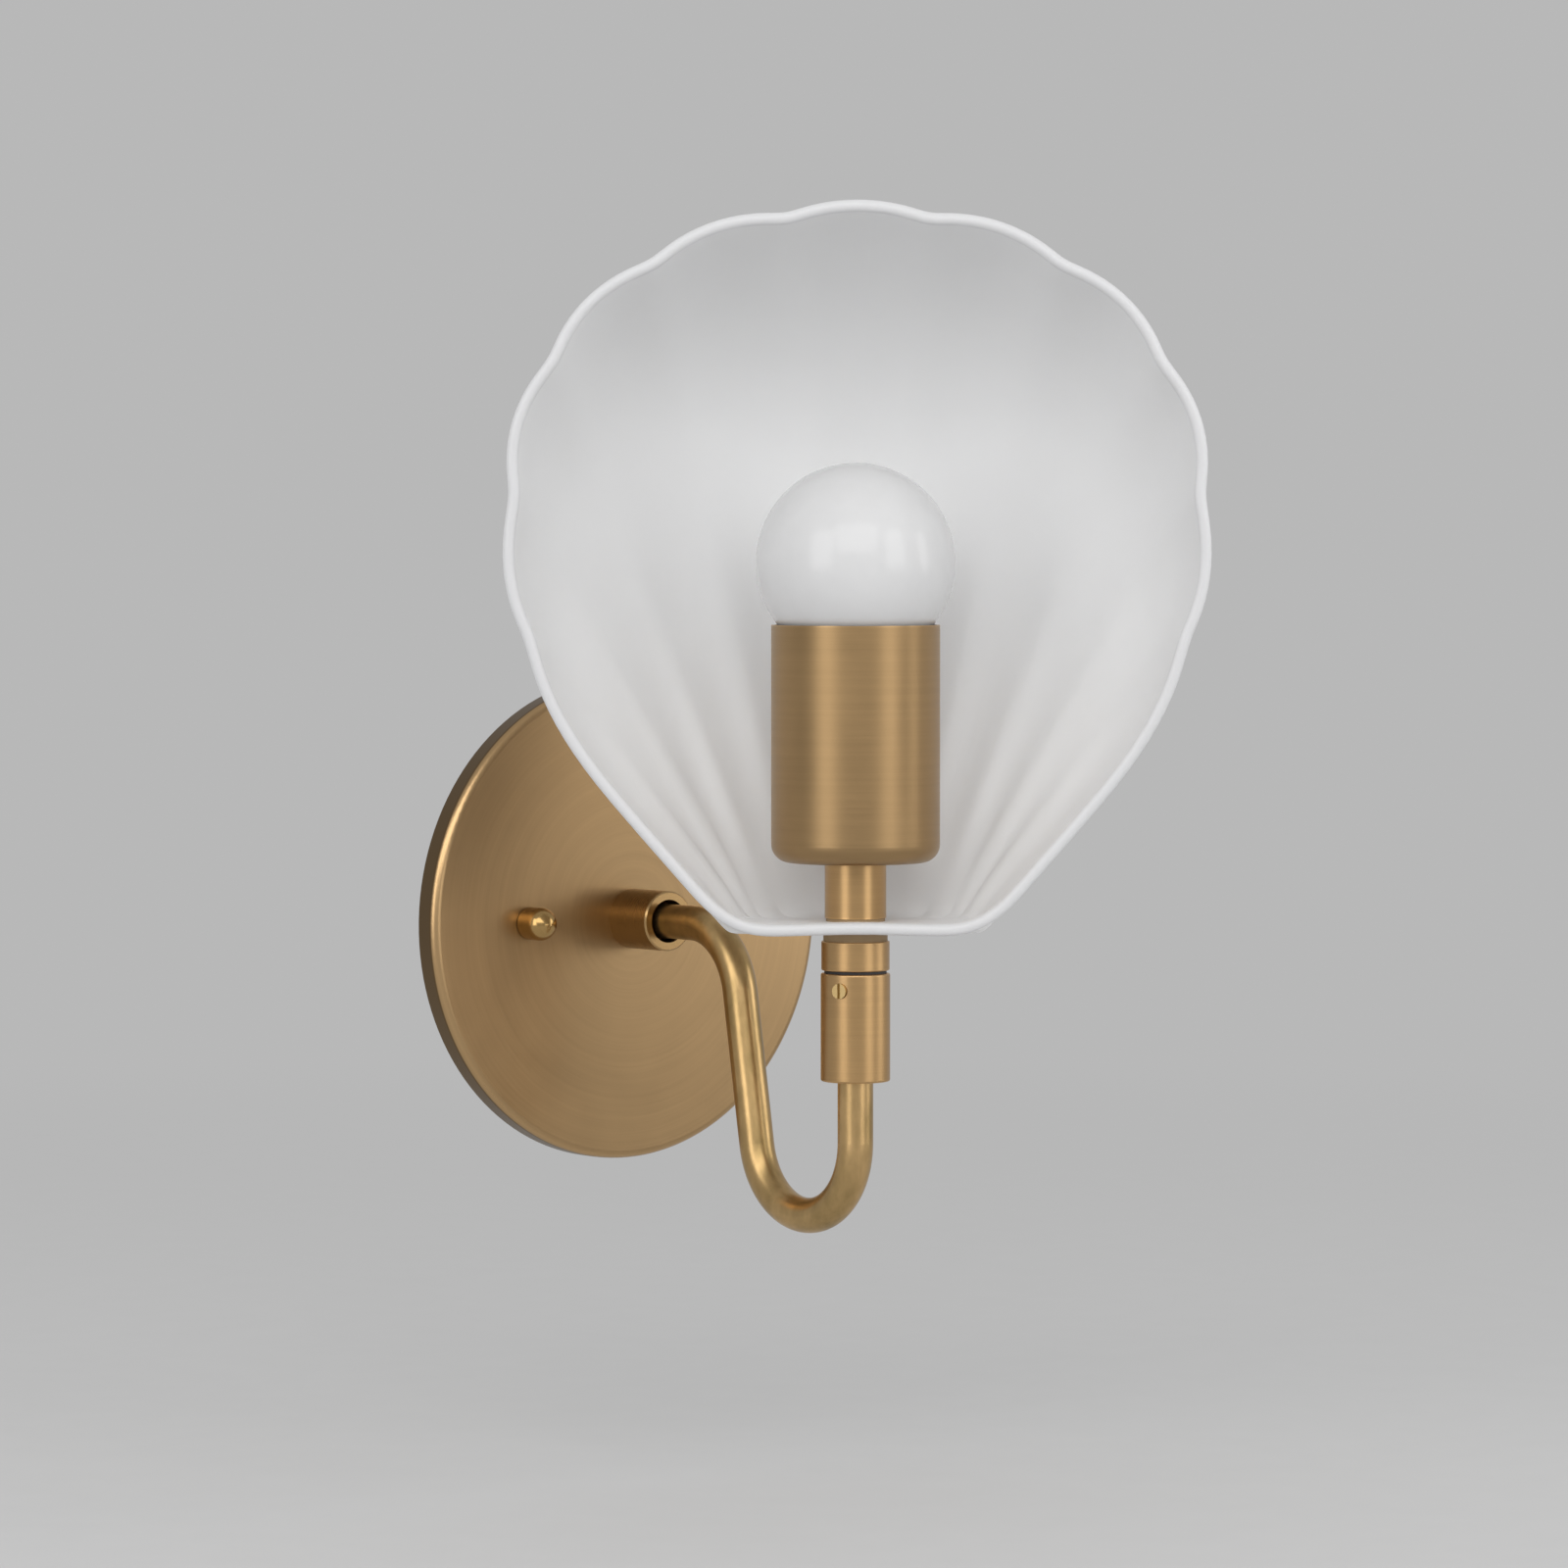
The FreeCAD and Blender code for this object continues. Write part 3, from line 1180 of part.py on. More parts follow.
def at_length(outline, totals, length):
    """The point of a polyline at a length along it."""
    for i in range(1, len(totals)):
        if totals[i] >= length:
            span = totals[i] - totals[i - 1]
            share = (length - totals[i - 1]) / span if span > 0 else 0.0
            (x0, y0), (x1, y1) = outline[i - 1], outline[i]
            return (x0 + (x1 - x0) * share, y0 + (y1 - y0) * share)
    return outline[-1]


def evenly_spaced(points, count):
    """Points of a 3-D polyline, evenly spaced along it."""
    totals = [0.0]
    for first, second in zip(points, points[1:]):
        totals.append(totals[-1] + (second - first).Length)
    spaced = []
    segment = 1
    for k in range(count):
        wanted = totals[-1] * k / (count - 1)
        while segment < len(totals) - 1 and totals[segment] < wanted:
            segment += 1
        span = totals[segment] - totals[segment - 1]
        share = (wanted - totals[segment - 1]) / span
        spaced.append(points[segment - 1] + (points[segment] - points[segment - 1]) * share)
    return spaced


def floor_edge(fan, corner_x):
    """Where a section leaves the floor: (across, depth behind the rim)."""
    half = min(d.shell_floor_width.value / 2, corner_x)
    across = half * (1 - (1 - fan) ** FLOOR_SPREAD)
    full = d.shell_floor_depth.value
    least = d.shell_corner_floor.value
    roundness = max(1 - (across / half) ** FLOOR_SQUARENESS, 0.0) ** (1 / FLOOR_SQUARENESS)
    depth = least + (full - least) * roundness
    return across, depth


def section_line(length, totals, outline, corner_length):
    """One section, from the stud's hole to the rim, for the right half of the shell."""
    ahead = d.shell_rim_ahead.value
    hole = d.shell_hole.value / 2 * HOLE_SHARE
    across, up = at_length(outline, totals, length)
    rim = Vector(across, -ahead, up)
    fan = min(length / corner_length, 1.0)
    corner_x = at_length(outline, totals, corner_length)[0]
    if length <= corner_length:
        foot_x, foot_depth = floor_edge(fan, corner_x)
    else:
        lip_share = (totals[-1] - length) / (totals[-1] - corner_length)
        foot_x = across
        middle_depth = (ahead - hole) * LIP_ROOM
        foot_depth = middle_depth + (d.shell_corner_floor.value - middle_depth) * lip_share
    foot = Vector(foot_x, -ahead + foot_depth, 0)
    away = Vector(foot.x, foot.y, 0).normalize()
    near = away * hole
    swell = math.cos(math.pi / 2 * fan) ** BACK_FALLOFF
    height = d.shell_height.value
    lean_up = d.shell_back_lean_height.value / height
    swell_up = d.shell_back_swell_height.value / height
    lean_depth = foot_depth + (d.shell_back_lean.value - foot_depth) * swell
    edge = min(d.shell_edge_turn.value, foot_depth)
    swell_depth = math.hypot(d.shell_back_swell.value * swell, edge)
    edge_share = 1 - (1 - swell_up) * (EDGE_TURN_SHARE + (1 - EDGE_TURN_SHARE) * swell)
    wall = [
        foot,
        Vector(foot.x + (across - foot.x) * lean_up, -ahead + lean_depth, up * lean_up),
        Vector(foot.x + (across - foot.x) * edge_share, -ahead + swell_depth, up * edge_share),
        rim,
    ]
    steps = 60
    line = [near]
    line += [bezier_point(wall, i / steps) for i in range(steps + 1)]
    return evenly_spaced(line, SECTION_POLE_COUNT)


def valley(length, corner_length):
    """How far the glass is drawn in at a place on the rim: 0 on a flute, 1 in a valley."""
    pitch = d.flute_pitch.value
    last_valley = (d.flute_count.value - 0.5) * pitch
    if length <= last_valley:
        return 1 - abs(math.cos(math.pi * length / pitch)) ** FLUTE_POWER
    if length >= corner_length:
        return 0.0
    share = (length - last_valley) / (corner_length - last_valley)
    return 1 - math.sin(math.pi / 2 * min(share * LONG_FLUTE_RISE, 1.0))


def flute_strength(share):
    """How deep the valleys are at a place on a section, from 0 to 1."""
    for (low, before), (high, after) in zip(FLUTE_STRENGTH, FLUTE_STRENGTH[1:]):
        if share <= high:
            blend = (1 - math.cos(math.pi * (share - low) / (high - low))) / 2
            return before + (after - before) * blend
    return FLUTE_STRENGTH[-1][1]


def mirrored_round(right_half):
    """All the way round, from the top down the right side, and back up the left."""
    left = [
        [Vector(-point.x, point.y, point.z) for point in section]
        for section in reversed(right_half[1:-1])
    ]
    return right_half + left


def outward_normals(grid):
    """Unit normals of the glass, pointing out of the shell."""
    around = len(grid)
    rows = len(grid[0])
    normals = []
    for i in range(around):
        line = []
        for j in range(rows):
            beside = grid[(i + 1) % around][j] - grid[i - 1][j]
            ahead = grid[i][min(j + 1, rows - 1)] - grid[i][max(j - 1, 0)]
            normal = ahead.cross(beside)
            line.append(Vector(0, 0, -1) if j == 0 else normal.normalize())
        normals.append(line)
    return normals


def glass_grids():
    """Control points of the outer and the inner face, and of the rounded rim."""
    outline = half_rim_outline()
    totals = lengths_along(outline)
    lip = d.shell_lip_width.value / 2
    corner_length = totals[-1] - lip - d.shell_corner_height.value
    spacing = d.flute_pitch.value / FLUTE_POLE_COUNT
    count = int(round(totals[-1] / spacing))
    right_half = []
    depths = []
    for i in range(count + 1):
        length = totals[-1] * i / count
        right_half.append(section_line(length, totals, outline, corner_length))
        depths.append(valley(length, corner_length))
    grid = mirrored_round(right_half)
    depths = depths + depths[-2:0:-1]
    plain_normals = outward_normals(grid)
    outer = []
    for i, section in enumerate(grid):
        drawn = []
        for j, point in enumerate(section):
            strength = flute_strength(j / (SECTION_POLE_COUNT - 1))
            inset = d.flute_depth.value * depths[i] * strength
            drawn.append(point - plain_normals[i][j] * inset)
        outer.append(drawn)
    normals = outward_normals(outer)
    thickness = d.shell_glass.value
    inner = []
    rim = []
    for i, section in enumerate(outer):
        inside = [point - normals[i][j] * thickness for j, point in enumerate(section)]
        inner.append(inside)
        onward = (section[-1] - section[-2]).normalize() * thickness * RIM_SWELL
        rim.append([section[-1], section[-1] + onward, inside[-1] + onward, inside[-1]])
    return outer, rim, inner


def closed_surface(grid):
    """A smooth face from control points, closed all the way round."""
    around = len(grid)
    rows = len(grid[0])
    degree = 3
    surface = Part.BSplineSurface()
    inner_knots = rows - degree
    surface.buildFromPolesMultsKnots(
        grid,
        [1] * (around + 1),
        [degree + 1] + [1] * (inner_knots - 1) + [degree + 1],
        [float(k) for k in range(around + 1)],
        [float(k) for k in range(inner_knots + 1)],
        True,
        False,
        degree,
        degree,
    )
    return surface


def make_shell_shade():
    outer, rim, inner = glass_grids()
    outer_surface = closed_surface(outer)
    inner_surface = closed_surface(inner)
    faces = [outer_surface.toShape(), closed_surface(rim).toShape(), inner_surface.toShape()]
    for surface in (outer_surface, inner_surface):
        edge = surface.vIso(surface.bounds()[2]).toShape()
        faces.append(Part.Face(Part.Wire([edge])))
    skin = Part.Shell(faces)
    skin.sewShape()
    glass = Part.Solid(skin)
    if glass.Volume < 0:
        glass.reverse()
    radius = d.shell_hole.value / 2
    reach_down = d.shell_glass.value
    drill = Part.makeCylinder(radius, reach_down * 3, Vector(0, 0, -reach_down))
    feature = doc.addObject("Part::Feature", "shell_shade")
    feature.Shape = glass.cut(drill)
    keep(feature, "shell_shade")
    on_stem(feature, floor_base, turned=True)


# ---------------------------------------------------------------------------
# Make everything, check it and write it out
# ---------------------------------------------------------------------------
make_canopy()
make_mounting_strap()
make_canopy_fixings()
make_wall_collar()
make_arm_nipple()
on_wall(hex_nut("canopy_locknut", d.hex_height, rod_hole), depth=locknut_back)
make_ground()
make_arm()
make_swivel_body()
make_lock_screw()
make_swivel_stack()
make_shell_shade()
make_socket_cup()
make_lampholder()
make_socket_metal()
make_stem_leads()
make_lamp()
doc.recompute()

faults = []
for thing in doc.Objects:
    if "Invalid" in thing.State or "Error" in thing.State:
        faults.append(f"{thing.Label}: {thing.State}")
for node, thing in nodes.items():
    if thing.Shape.isNull() or not thing.Shape.isValid() or not thing.Shape.Solids:
        faults.append(f"{node}: no valid solid")
if faults:
    raise RuntimeError("; ".join(faults))

os.makedirs("parts", exist_ok=True)
for node, thing in nodes.items():
    thing.Shape.exportStep(f"parts/{node}.step")
    solids = thing.Shape.Solids
    print(f"{node}: {len(solids)} solid(s), {sum(solid.Volume for solid in solids):.1f} mm3")
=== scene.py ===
# %% [markdown]
# # A shell wall sconce
#
# A glass scallop shell stands on a bent brass arm that comes out of a round wall plate. All
# the pieces arrive from the CAD model at their real size and place. This notebook gives each
# one its finish, and sets up a small photo studio round them.
#
# Everything is in metres: +X to the right seen from the room, -Y out of the wall, +Z up.

import math

import bmesh
import bpy
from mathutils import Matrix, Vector


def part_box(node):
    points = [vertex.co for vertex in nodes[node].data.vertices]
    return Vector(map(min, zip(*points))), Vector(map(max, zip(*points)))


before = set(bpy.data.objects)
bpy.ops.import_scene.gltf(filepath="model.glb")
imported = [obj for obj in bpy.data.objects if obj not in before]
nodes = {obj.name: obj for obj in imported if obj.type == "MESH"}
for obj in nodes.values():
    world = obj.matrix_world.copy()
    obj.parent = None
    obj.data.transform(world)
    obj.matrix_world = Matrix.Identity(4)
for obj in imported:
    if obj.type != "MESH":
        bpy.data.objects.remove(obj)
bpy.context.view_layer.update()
MM = 0.001
print("pieces from the CAD model:", len(nodes))

# %% [markdown]
# ## Where the camera stands
#
# The photograph was taken with a long lens from the left of the wall plate, a little above
# its middle. A camera could be placed by eye, but a fitted one is safer: the ellipse of the
# wall plate gives the angle to the wall, the curve of the cup's edge gives the height, and
# the globe of the lamp, 50 mm across, gives the distance.

# %% The camera
PHOTO_PIXELS = 1600
FOCAL_PIXELS = 6090.0
HORIZON_ABOVE_MIDDLE = 240.0
WALL_ANGLE = math.radians(39.0)
STEM_DISTANCE = 1500 * MM
STEM_TO_THE_RIGHT = 18 * MM
CAMERA_HEIGHT = 97.4 * MM
SENSOR = 36.0
FARTHEST_SEEN = 50.0

stud_low, stud_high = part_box("swivel_stud")
stem_axis = (stud_low + stud_high) / 2
stem_axis.z = 0.0
level_view = Vector((math.sin(WALL_ANGLE), math.cos(WALL_ANGLE), 0.0))
to_the_right = Vector((math.cos(WALL_ANGLE), -math.sin(WALL_ANGLE), 0.0))
look_down = math.atan(HORIZON_ABOVE_MIDDLE / FOCAL_PIXELS)
view = level_view * math.cos(look_down) - Vector((0, 0, math.sin(look_down)))

camera = bpy.data.objects.new("camera", bpy.data.cameras.new("camera"))
bpy.context.scene.collection.objects.link(camera)
camera.location = stem_axis - level_view * STEM_DISTANCE - to_the_right * STEM_TO_THE_RIGHT
camera.location.z = CAMERA_HEIGHT
camera.rotation_euler = view.to_track_quat("-Z", "Y").to_euler()
camera.data.sensor_width = SENSOR
camera.data.lens = SENSOR * FOCAL_PIXELS / PHOTO_PIXELS
camera.data.clip_end = FARTHEST_SEEN
bpy.context.scene.camera = camera
print("camera at", [round(value, 3) for value in camera.location])
print("lens, mm:", round(camera.data.lens, 1))

# %% [markdown]
# ## A small language for finishes
#
# A finish is a net of shader nodes. Wiring them one by one hides the idea, so a socket is
# wrapped in a class that knows sums: `1 - mask` and `lines * 0.2 + 0.3` each add Math nodes.
# Colours are mixed with Mix nodes instead, because a Math node would turn them grey.

# %% Sockets that can be added and multiplied
class Flow:
    """The output of a node, ready for Python sums."""

    def __init__(self, net, socket):
        self.net = net
        self.socket = socket

    def math(self, operation, *terms):
        return self.net.node("ShaderNodeMath", {"operation": operation}, terms)

    def __add__(self, other):
        return self.math("ADD", self, other)

    __radd__ = __add__

    def __sub__(self, other):
        return self.math("SUBTRACT", self, other)

    def __rsub__(self, other):
        return self.math("SUBTRACT", other, self)

    def __mul__(self, other):
        return self.math("MULTIPLY", self, other)

    __rmul__ = __mul__

    def __truediv__(self, other):
        return self.math("DIVIDE", self, other)

    def __rtruediv__(self, other):
        return self.math("DIVIDE", other, self)

    def __pow__(self, other):
        return self.math("POWER", self, other)

    def __abs__(self):
        return self.math("ABSOLUTE", self)

    def clamped(self):
        """The same, kept between 0 and 1."""
        settings = {"operation": "ADD", "use_clamp": True}
        return self.net.node("ShaderNodeMath", settings, (self, 0.0))


# %% [markdown]
# One method makes any node: it sets the node's settings, then its sockets, by number or by
# name. A number goes straight into a socket, and a Flow is linked to it.

# %% A net of nodes
class Net:
    """The shader nodes of one material, or of the world."""

    def __init__(self, tree, output):
        self.tree = tree
        self.tree.nodes.clear()
        self.output = tree.nodes.new(output)

    def node(self, kind, settings=None, inputs=(), output=0):
        made = self.tree.nodes.new(kind)
        for setting, value in (settings or {}).items():
            setattr(made, setting, value)
        pairs = inputs.items() if isinstance(inputs, dict) else enumerate(inputs)
        for key, value in pairs:
            if isinstance(value, Flow):
                self.tree.links.new(value.socket, made.inputs[key])
            else:
                made.inputs[key].default_value = value
        return Flow(self, made.outputs[output])

    def place(self):
        """Where a point is on its piece, in metres, as x, y and z."""
        spot = self.node("ShaderNodeTexCoord", output="Object")
        split = self.node("ShaderNodeSeparateXYZ", inputs=(spot,)).socket.node
        return [Flow(self, split.outputs[axis]) for axis in ("X", "Y", "Z")]

    def vector(self, x, y, z):
        return self.node("ShaderNodeCombineXYZ", inputs=(x, y, z))

    def noise(self, where, scale, detail=3.0, roughness=0.5):
        inputs = {"Vector": where, "Scale": scale, "Detail": detail, "Roughness": roughness}
        return self.node("ShaderNodeTexNoise", inputs=inputs, output="Fac")

    def mix(self, share, first, second):
        """Two colours, mixed by a share from 0 to 1."""
        inputs = {"Factor": share, 6: first, 7: second}
        return self.node("ShaderNodeMix", {"data_type": "RGBA"}, inputs, output=2)

    def bump(self, height, depth):
        """A height from 0 to 1, that many metres deep."""
        inputs = {"Strength": 1.0, "Distance": depth, "Height": height}
        return self.node("ShaderNodeBump", inputs=inputs)

    def close(self, shader):
        self.tree.links.new(shader.socket, self.output.inputs["Surface"])


class Finish(Net):
    """One material, closed with a Principled shader."""

    def __init__(self, name):
        self.material = bpy.data.materials.new(name)
        self.material.use_nodes = True
        super().__init__(self.material.node_tree, "ShaderNodeOutputMaterial")

    def surface(self, sockets):
        self.close(self.node("ShaderNodeBsdfPrincipled", inputs=sockets))
        return self.material


def tone(colour, share=1.0):
    """A colour for a socket, made lighter or darker by a share."""
    return tuple(min(channel * share, 1.0) for channel in colour) + (1.0,)


def dress(material, *names):
    """Give a finish to whole CAD pieces."""
    for name in names:
        for slot in nodes[name].material_slots:
            slot.material = material
    print(material.name, "->", ", ".join(names))


# %% [markdown]
# ## Satin brass
#
# The metal is brass under a satin lacquer. A lathe or a brushing wheel has left fine lines
# round each turned piece. They could be painted as an image, but a stretched noise is
# lighter and has no seam: it changes quickly along the axis and slowly across it, so it
# draws rings. The rings move the colour a little and the roughness more, and they dent the
# surface by a few thousandths of a millimetre, which spreads the highlight across them.
# A wide, cloudy noise stands for the handling that no lacquer hides.
#
# Each piece also gets a narrow band at the levels of its edges, brighter and a little
# smoother: a painted highlight, where rounded edges catch the lamps.

# %% Brass with its lines, clouds, painted edge highlights and painted side shade
LINE_SCALE = 2600.0
BROAD_LINE_SCALE = 620.0
CLOUD_SCALE = 55.0
ALONG_A_LINE = 0.015
LINE_DEPTH = 0.006 * MM
FINE_DENT = 0.6
# The three parts swing the share of light metal evenly round one half.
CLOUDS, BROAD_LINES, FINE_LINES = 0.4, 0.6, 0.4
SHARE_OFFSET = 0.2
DARK_BRASS = 0.84
LIGHT_BRASS = 1.14
ROUGHNESS_SWING = 0.10
# The edge band is a painted highlight, and the darker side is painted shade.
EDGE_BAND = 0.5 * MM
EDGE_HIGHLIGHT = 1.55
EDGE_HIGHLIGHT_SHARE = 0.55
EDGE_SMOOTHER = 0.06
SIDE_SHADE_FADE = 0.1 * MM
SIDE_SHADE_BRASS = 0.25
SIDE_SHADE_SHARE = 0.85


def brass(name, lines, colour, rough, edges=(), line_depth=LINE_DEPTH, band=EDGE_BAND,
          shade_from=None):
    """lines: round_z, round_y or rings_y, or even for small plain pieces.

    edges lists the levels of the edges that get a painted highlight, along z, y or the
    radius. Beyond the radius given last, the metal is painted darker, as painted shade.
    """
    finish = Finish(name)
    x, y, z = finish.place()
    slow = ALONG_A_LINE
    if lines == "round_z":
        level = z
        where = finish.vector(x * slow, y * slow, z)
    elif lines == "round_y":
        level = y
        where = finish.vector(x * slow, y, z * slow)
    elif lines == "rings_y":
        level = (x * x + z * z) ** 0.5
        where = finish.vector(level, x * slow, z * slow)
    else:
        where = finish.vector(x, y, z)
    fine = finish.noise(where, LINE_SCALE, detail=2.0, roughness=0.6)
    broad = finish.noise(where, BROAD_LINE_SCALE, detail=2.0)
    cloud = finish.noise(finish.vector(x, y, z), CLOUD_SCALE, roughness=0.55)
    share = cloud * CLOUDS + broad * BROAD_LINES + fine * FINE_LINES - SHARE_OFFSET
    colours = finish.mix(
        share.clamped(), tone(colour, DARK_BRASS), tone(colour, LIGHT_BRASS)
    )
    roughness = (fine + cloud) * ROUGHNESS_SWING + (rough - ROUGHNESS_SWING)
    # painted highlight: a brighter, smoother band along each listed edge
    for edge in edges:
        highlight_band = (1 - abs(level - edge) / band).clamped()
        colours = finish.mix(highlight_band * EDGE_HIGHLIGHT_SHARE, colours, tone(colour, EDGE_HIGHLIGHT))
        roughness = roughness - highlight_band * EDGE_SMOOTHER
    # painted shade: beyond that radius the brass is painted darker, on the plate's narrow
    # side
    if shade_from is not None:
        side = ((level - shade_from) / SIDE_SHADE_FADE).clamped()
        colours = finish.mix(side * SIDE_SHADE_SHARE, colours, tone(colour, SIDE_SHADE_BRASS))
    return finish.surface({
        "Base Color": colours,
        "Metallic": 1.0,
        "Roughness": roughness,
        "Normal": finish.bump(fine * FINE_DENT + broad * (1 - FINE_DENT), line_depth),
    })


# %% [markdown]
# ## The brass pieces
#
# The lines run round the axis on the cup and the stem, round the horizontal axis on the wall
# collar, and in rings on the wall plate. The colours are light levels, not paint numbers,
# because a metal's colour is the share of light that it throws back. The narrow side of the
# wall plate is painted dark, as painted shade, behind the painted highlight along its bevel.

# %% The colours of the brass
CUP_TONE = (0.364, 0.238, 0.116)
TURNED_TONE = (0.499, 0.315, 0.145)
COLLAR_TONE = (0.400, 0.255, 0.112)
CANOPY_TONE = (0.422, 0.277, 0.138)
NUT_TONE = (0.470, 0.300, 0.115)
PLAIN_TONE = (0.560, 0.400, 0.180)
FAINT_LINES = 0.002 * MM
FAINTEST_LINES = 0.001 * MM
BEVEL_INSET = 0.7 * MM
BEVEL_BAND = 1.2 * MM
SIDE_INSET = 0.15 * MM

# Each list of edges gets a band of painted highlight.
cup_low, cup_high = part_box("socket_cup")
dress(
    brass("cup_brass", "round_z", CUP_TONE, rough=0.38, edges=(cup_high.z,)),
    "socket_cup",
)
for name in ("swivel_body", "seat_ring", "stem_tube"):
    low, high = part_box(name)
    turned = brass(
        name + "_brass", "round_z", TURNED_TONE, rough=0.33, edges=(low.z, high.z)
    )
    dress(turned, name)
collar_low, collar_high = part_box("wall_collar")
dress(
    brass("collar_brass", "round_y", COLLAR_TONE, rough=0.29, edges=(collar_low.y,)),
    "wall_collar",
)

canopy_low, canopy_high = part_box("canopy")
canopy_radius = (canopy_high.x - canopy_low.x) / 2
# painted highlight along the plate's bevel, and painted shade on its narrow side
dress(
    brass(
        "canopy_brass", "rings_y", CANOPY_TONE, rough=0.35,
        edges=(canopy_radius - BEVEL_INSET,), band=BEVEL_BAND,
        shade_from=canopy_radius - SIDE_INSET,
    ),
    "canopy",
)
dress(
    brass("nut_brass", "round_y", NUT_TONE, rough=0.20, line_depth=FAINTEST_LINES),
    "cap_nuts",
)
dress(
    brass("plain_brass", "even", PLAIN_TONE, rough=0.30, line_depth=FAINT_LINES),
    "arm_nipple", "swivel_stud", "cup_nut", "screw_shell", "centre_contact",
    "terminal_screws", "lock_screw",
)
print("wall plate radius, mm:", round(canopy_radius / MM, 2))

# %% [markdown]
# ## The bent arm
#
# The arm is a drawn tube that was bent and then polished by hand, and it has darkened a
# little since. Rings would be wrong on it. Two cloudy noises mix a dark, greenish brass
# with a lighter one: a wide noise for the tarnish, and a finer one for the rubbing of the
# cloth. Where the tarnish is thin, the metal is also smoother.

# %% Hand-polished, slightly tarnished brass
ARM_TONE = (0.675, 0.446, 0.206)
TARNISH_TONE = (0.235, 0.165, 0.062)
STRETCH_X, STRETCH_Z = 2.0, 0.6
TARNISH_SCALE = 75.0
RUBBING_SCALE = 420.0
TARNISH_CONTRAST = 1.7
RUBBING_CONTRAST = 0.3
BARE_OFFSET = 0.45
TARNISHED_ROUGHNESS = 0.37
BARE_SMOOTHER = 0.10
HAND_POLISH_DEPTH = 0.05 * MM


def bent_brass():
    finish = Finish("arm_brass")
    x, y, z = finish.place()
    spot = finish.vector(x * STRETCH_X, y, z * STRETCH_Z)
    clouds = finish.noise(spot, TARNISH_SCALE, detail=4.0, roughness=0.6)
    rubbed = finish.noise(spot, RUBBING_SCALE, detail=2.0)
    bare = clouds * TARNISH_CONTRAST + rubbed * RUBBING_CONTRAST - BARE_OFFSET
    bare = bare.clamped()
    return finish.surface({
        "Base Color": finish.mix(bare, tone(TARNISH_TONE), tone(ARM_TONE)),
        "Metallic": 1.0,
        "Roughness": TARNISHED_ROUGHNESS - bare * BARE_SMOOTHER,
        "Normal": finish.bump(clouds, HAND_POLISH_DEPTH),
    })


dress(bent_brass(), "arm_tube")

# %% [markdown]
# ## The hidden hardware
#
# Behind the wall plate are zinc-plated steel, a tinned terminal and a green earth screw.
# Plating has a fine grey bloom with no direction, so its noise is even on all sides. The
# lamp's screw base is nickel, and its contact is a drop of solder.

# %% Plated steel, tin, nickel and solder
BLOOM_SCALE = 420.0
PLATING_GRAIN_SCALE = 2400.0
PLATING_GRAIN_DEPTH = 0.004 * MM
DARK_BLOOM = 0.82
LIGHT_BLOOM = 1.18
BLOOM_SWING = 0.14
ZINC = (0.52, 0.53, 0.54)
TIN = (0.58, 0.56, 0.53)
NICKEL = (0.62, 0.60, 0.56)
SOLDER = (0.47, 0.47, 0.48)
GREEN_PLATING = (0.03, 0.22, 0.07)


def plated(name, colour, rough):
    finish = Finish(name)
    x, y, z = finish.place()
    spot = finish.vector(x, y, z)
    bloom = finish.noise(spot, BLOOM_SCALE, detail=4.0, roughness=0.6)
    grain = finish.noise(spot, PLATING_GRAIN_SCALE, detail=2.0)
    return finish.surface({
        "Base Color": finish.mix(bloom, tone(colour, DARK_BLOOM), tone(colour, LIGHT_BLOOM)),
        "Metallic": 1.0,
        "Roughness": bloom * BLOOM_SWING + (rough - BLOOM_SWING / 2),
        "Normal": finish.bump(grain, PLATING_GRAIN_DEPTH),
    })


dress(
    plated("zinc_steel", ZINC, rough=0.36),
    "mounting_strap", "canopy_studs", "canopy_locknut", "cup_washer", "socket_cap",
    "socket_screws",
)
dress(plated("tinned_copper", TIN, rough=0.30), "ground_terminal")
dress(plated("nickel", NICKEL, rough=0.22), "bulb_base")
dress(plated("solder", SOLDER, rough=0.42), "bulb_contact")
dress(plated("green_screw", GREEN_PLATING, rough=0.35), "ground_screw")

# %% [markdown]
# ## Rubber, plastic, porcelain and wire
#
# These hardly show, but they are there when the lamp is taken out. One function makes them
# all, because they differ only in colour, gloss and grain: smooth wire insulation, a glazed
# lampholder, and the two soft washers that hold the glass. Those are tan, because in the
# photograph no dark line shows between the glass and the brass.

# %% Moulded and glazed pieces
MOTTLE_SCALE = 300.0
MOULD_GRAIN_SCALE = 3000.0
DARK_MOTTLE = 0.86
LIGHT_MOTTLE = 1.14
MOTTLE_SWING = 0.10
BLACK = (0.016, 0.016, 0.017)
WASHER_TAN = (0.300, 0.200, 0.100)
WHITE_WIRE = (0.70, 0.69, 0.66)
GREEN_WIRE = (0.025, 0.20, 0.06)
PORCELAIN = (0.75, 0.73, 0.68)


def moulded(name, colour, rough, grain_depth, glaze=0.0):
    finish = Finish(name)
    x, y, z = finish.place()
    spot = finish.vector(x, y, z)
    mottle = finish.noise(spot, MOTTLE_SCALE)
    grain = finish.noise(spot, MOULD_GRAIN_SCALE, detail=2.0)
    dark, light = tone(colour, DARK_MOTTLE), tone(colour, LIGHT_MOTTLE)
    return finish.surface({
        "Base Color": finish.mix(mottle, dark, light),
        "Roughness": mottle * MOTTLE_SWING + (rough - MOTTLE_SWING / 2),
        "Coat Weight": glaze,
        "Normal": finish.bump(grain, grain_depth),
    })


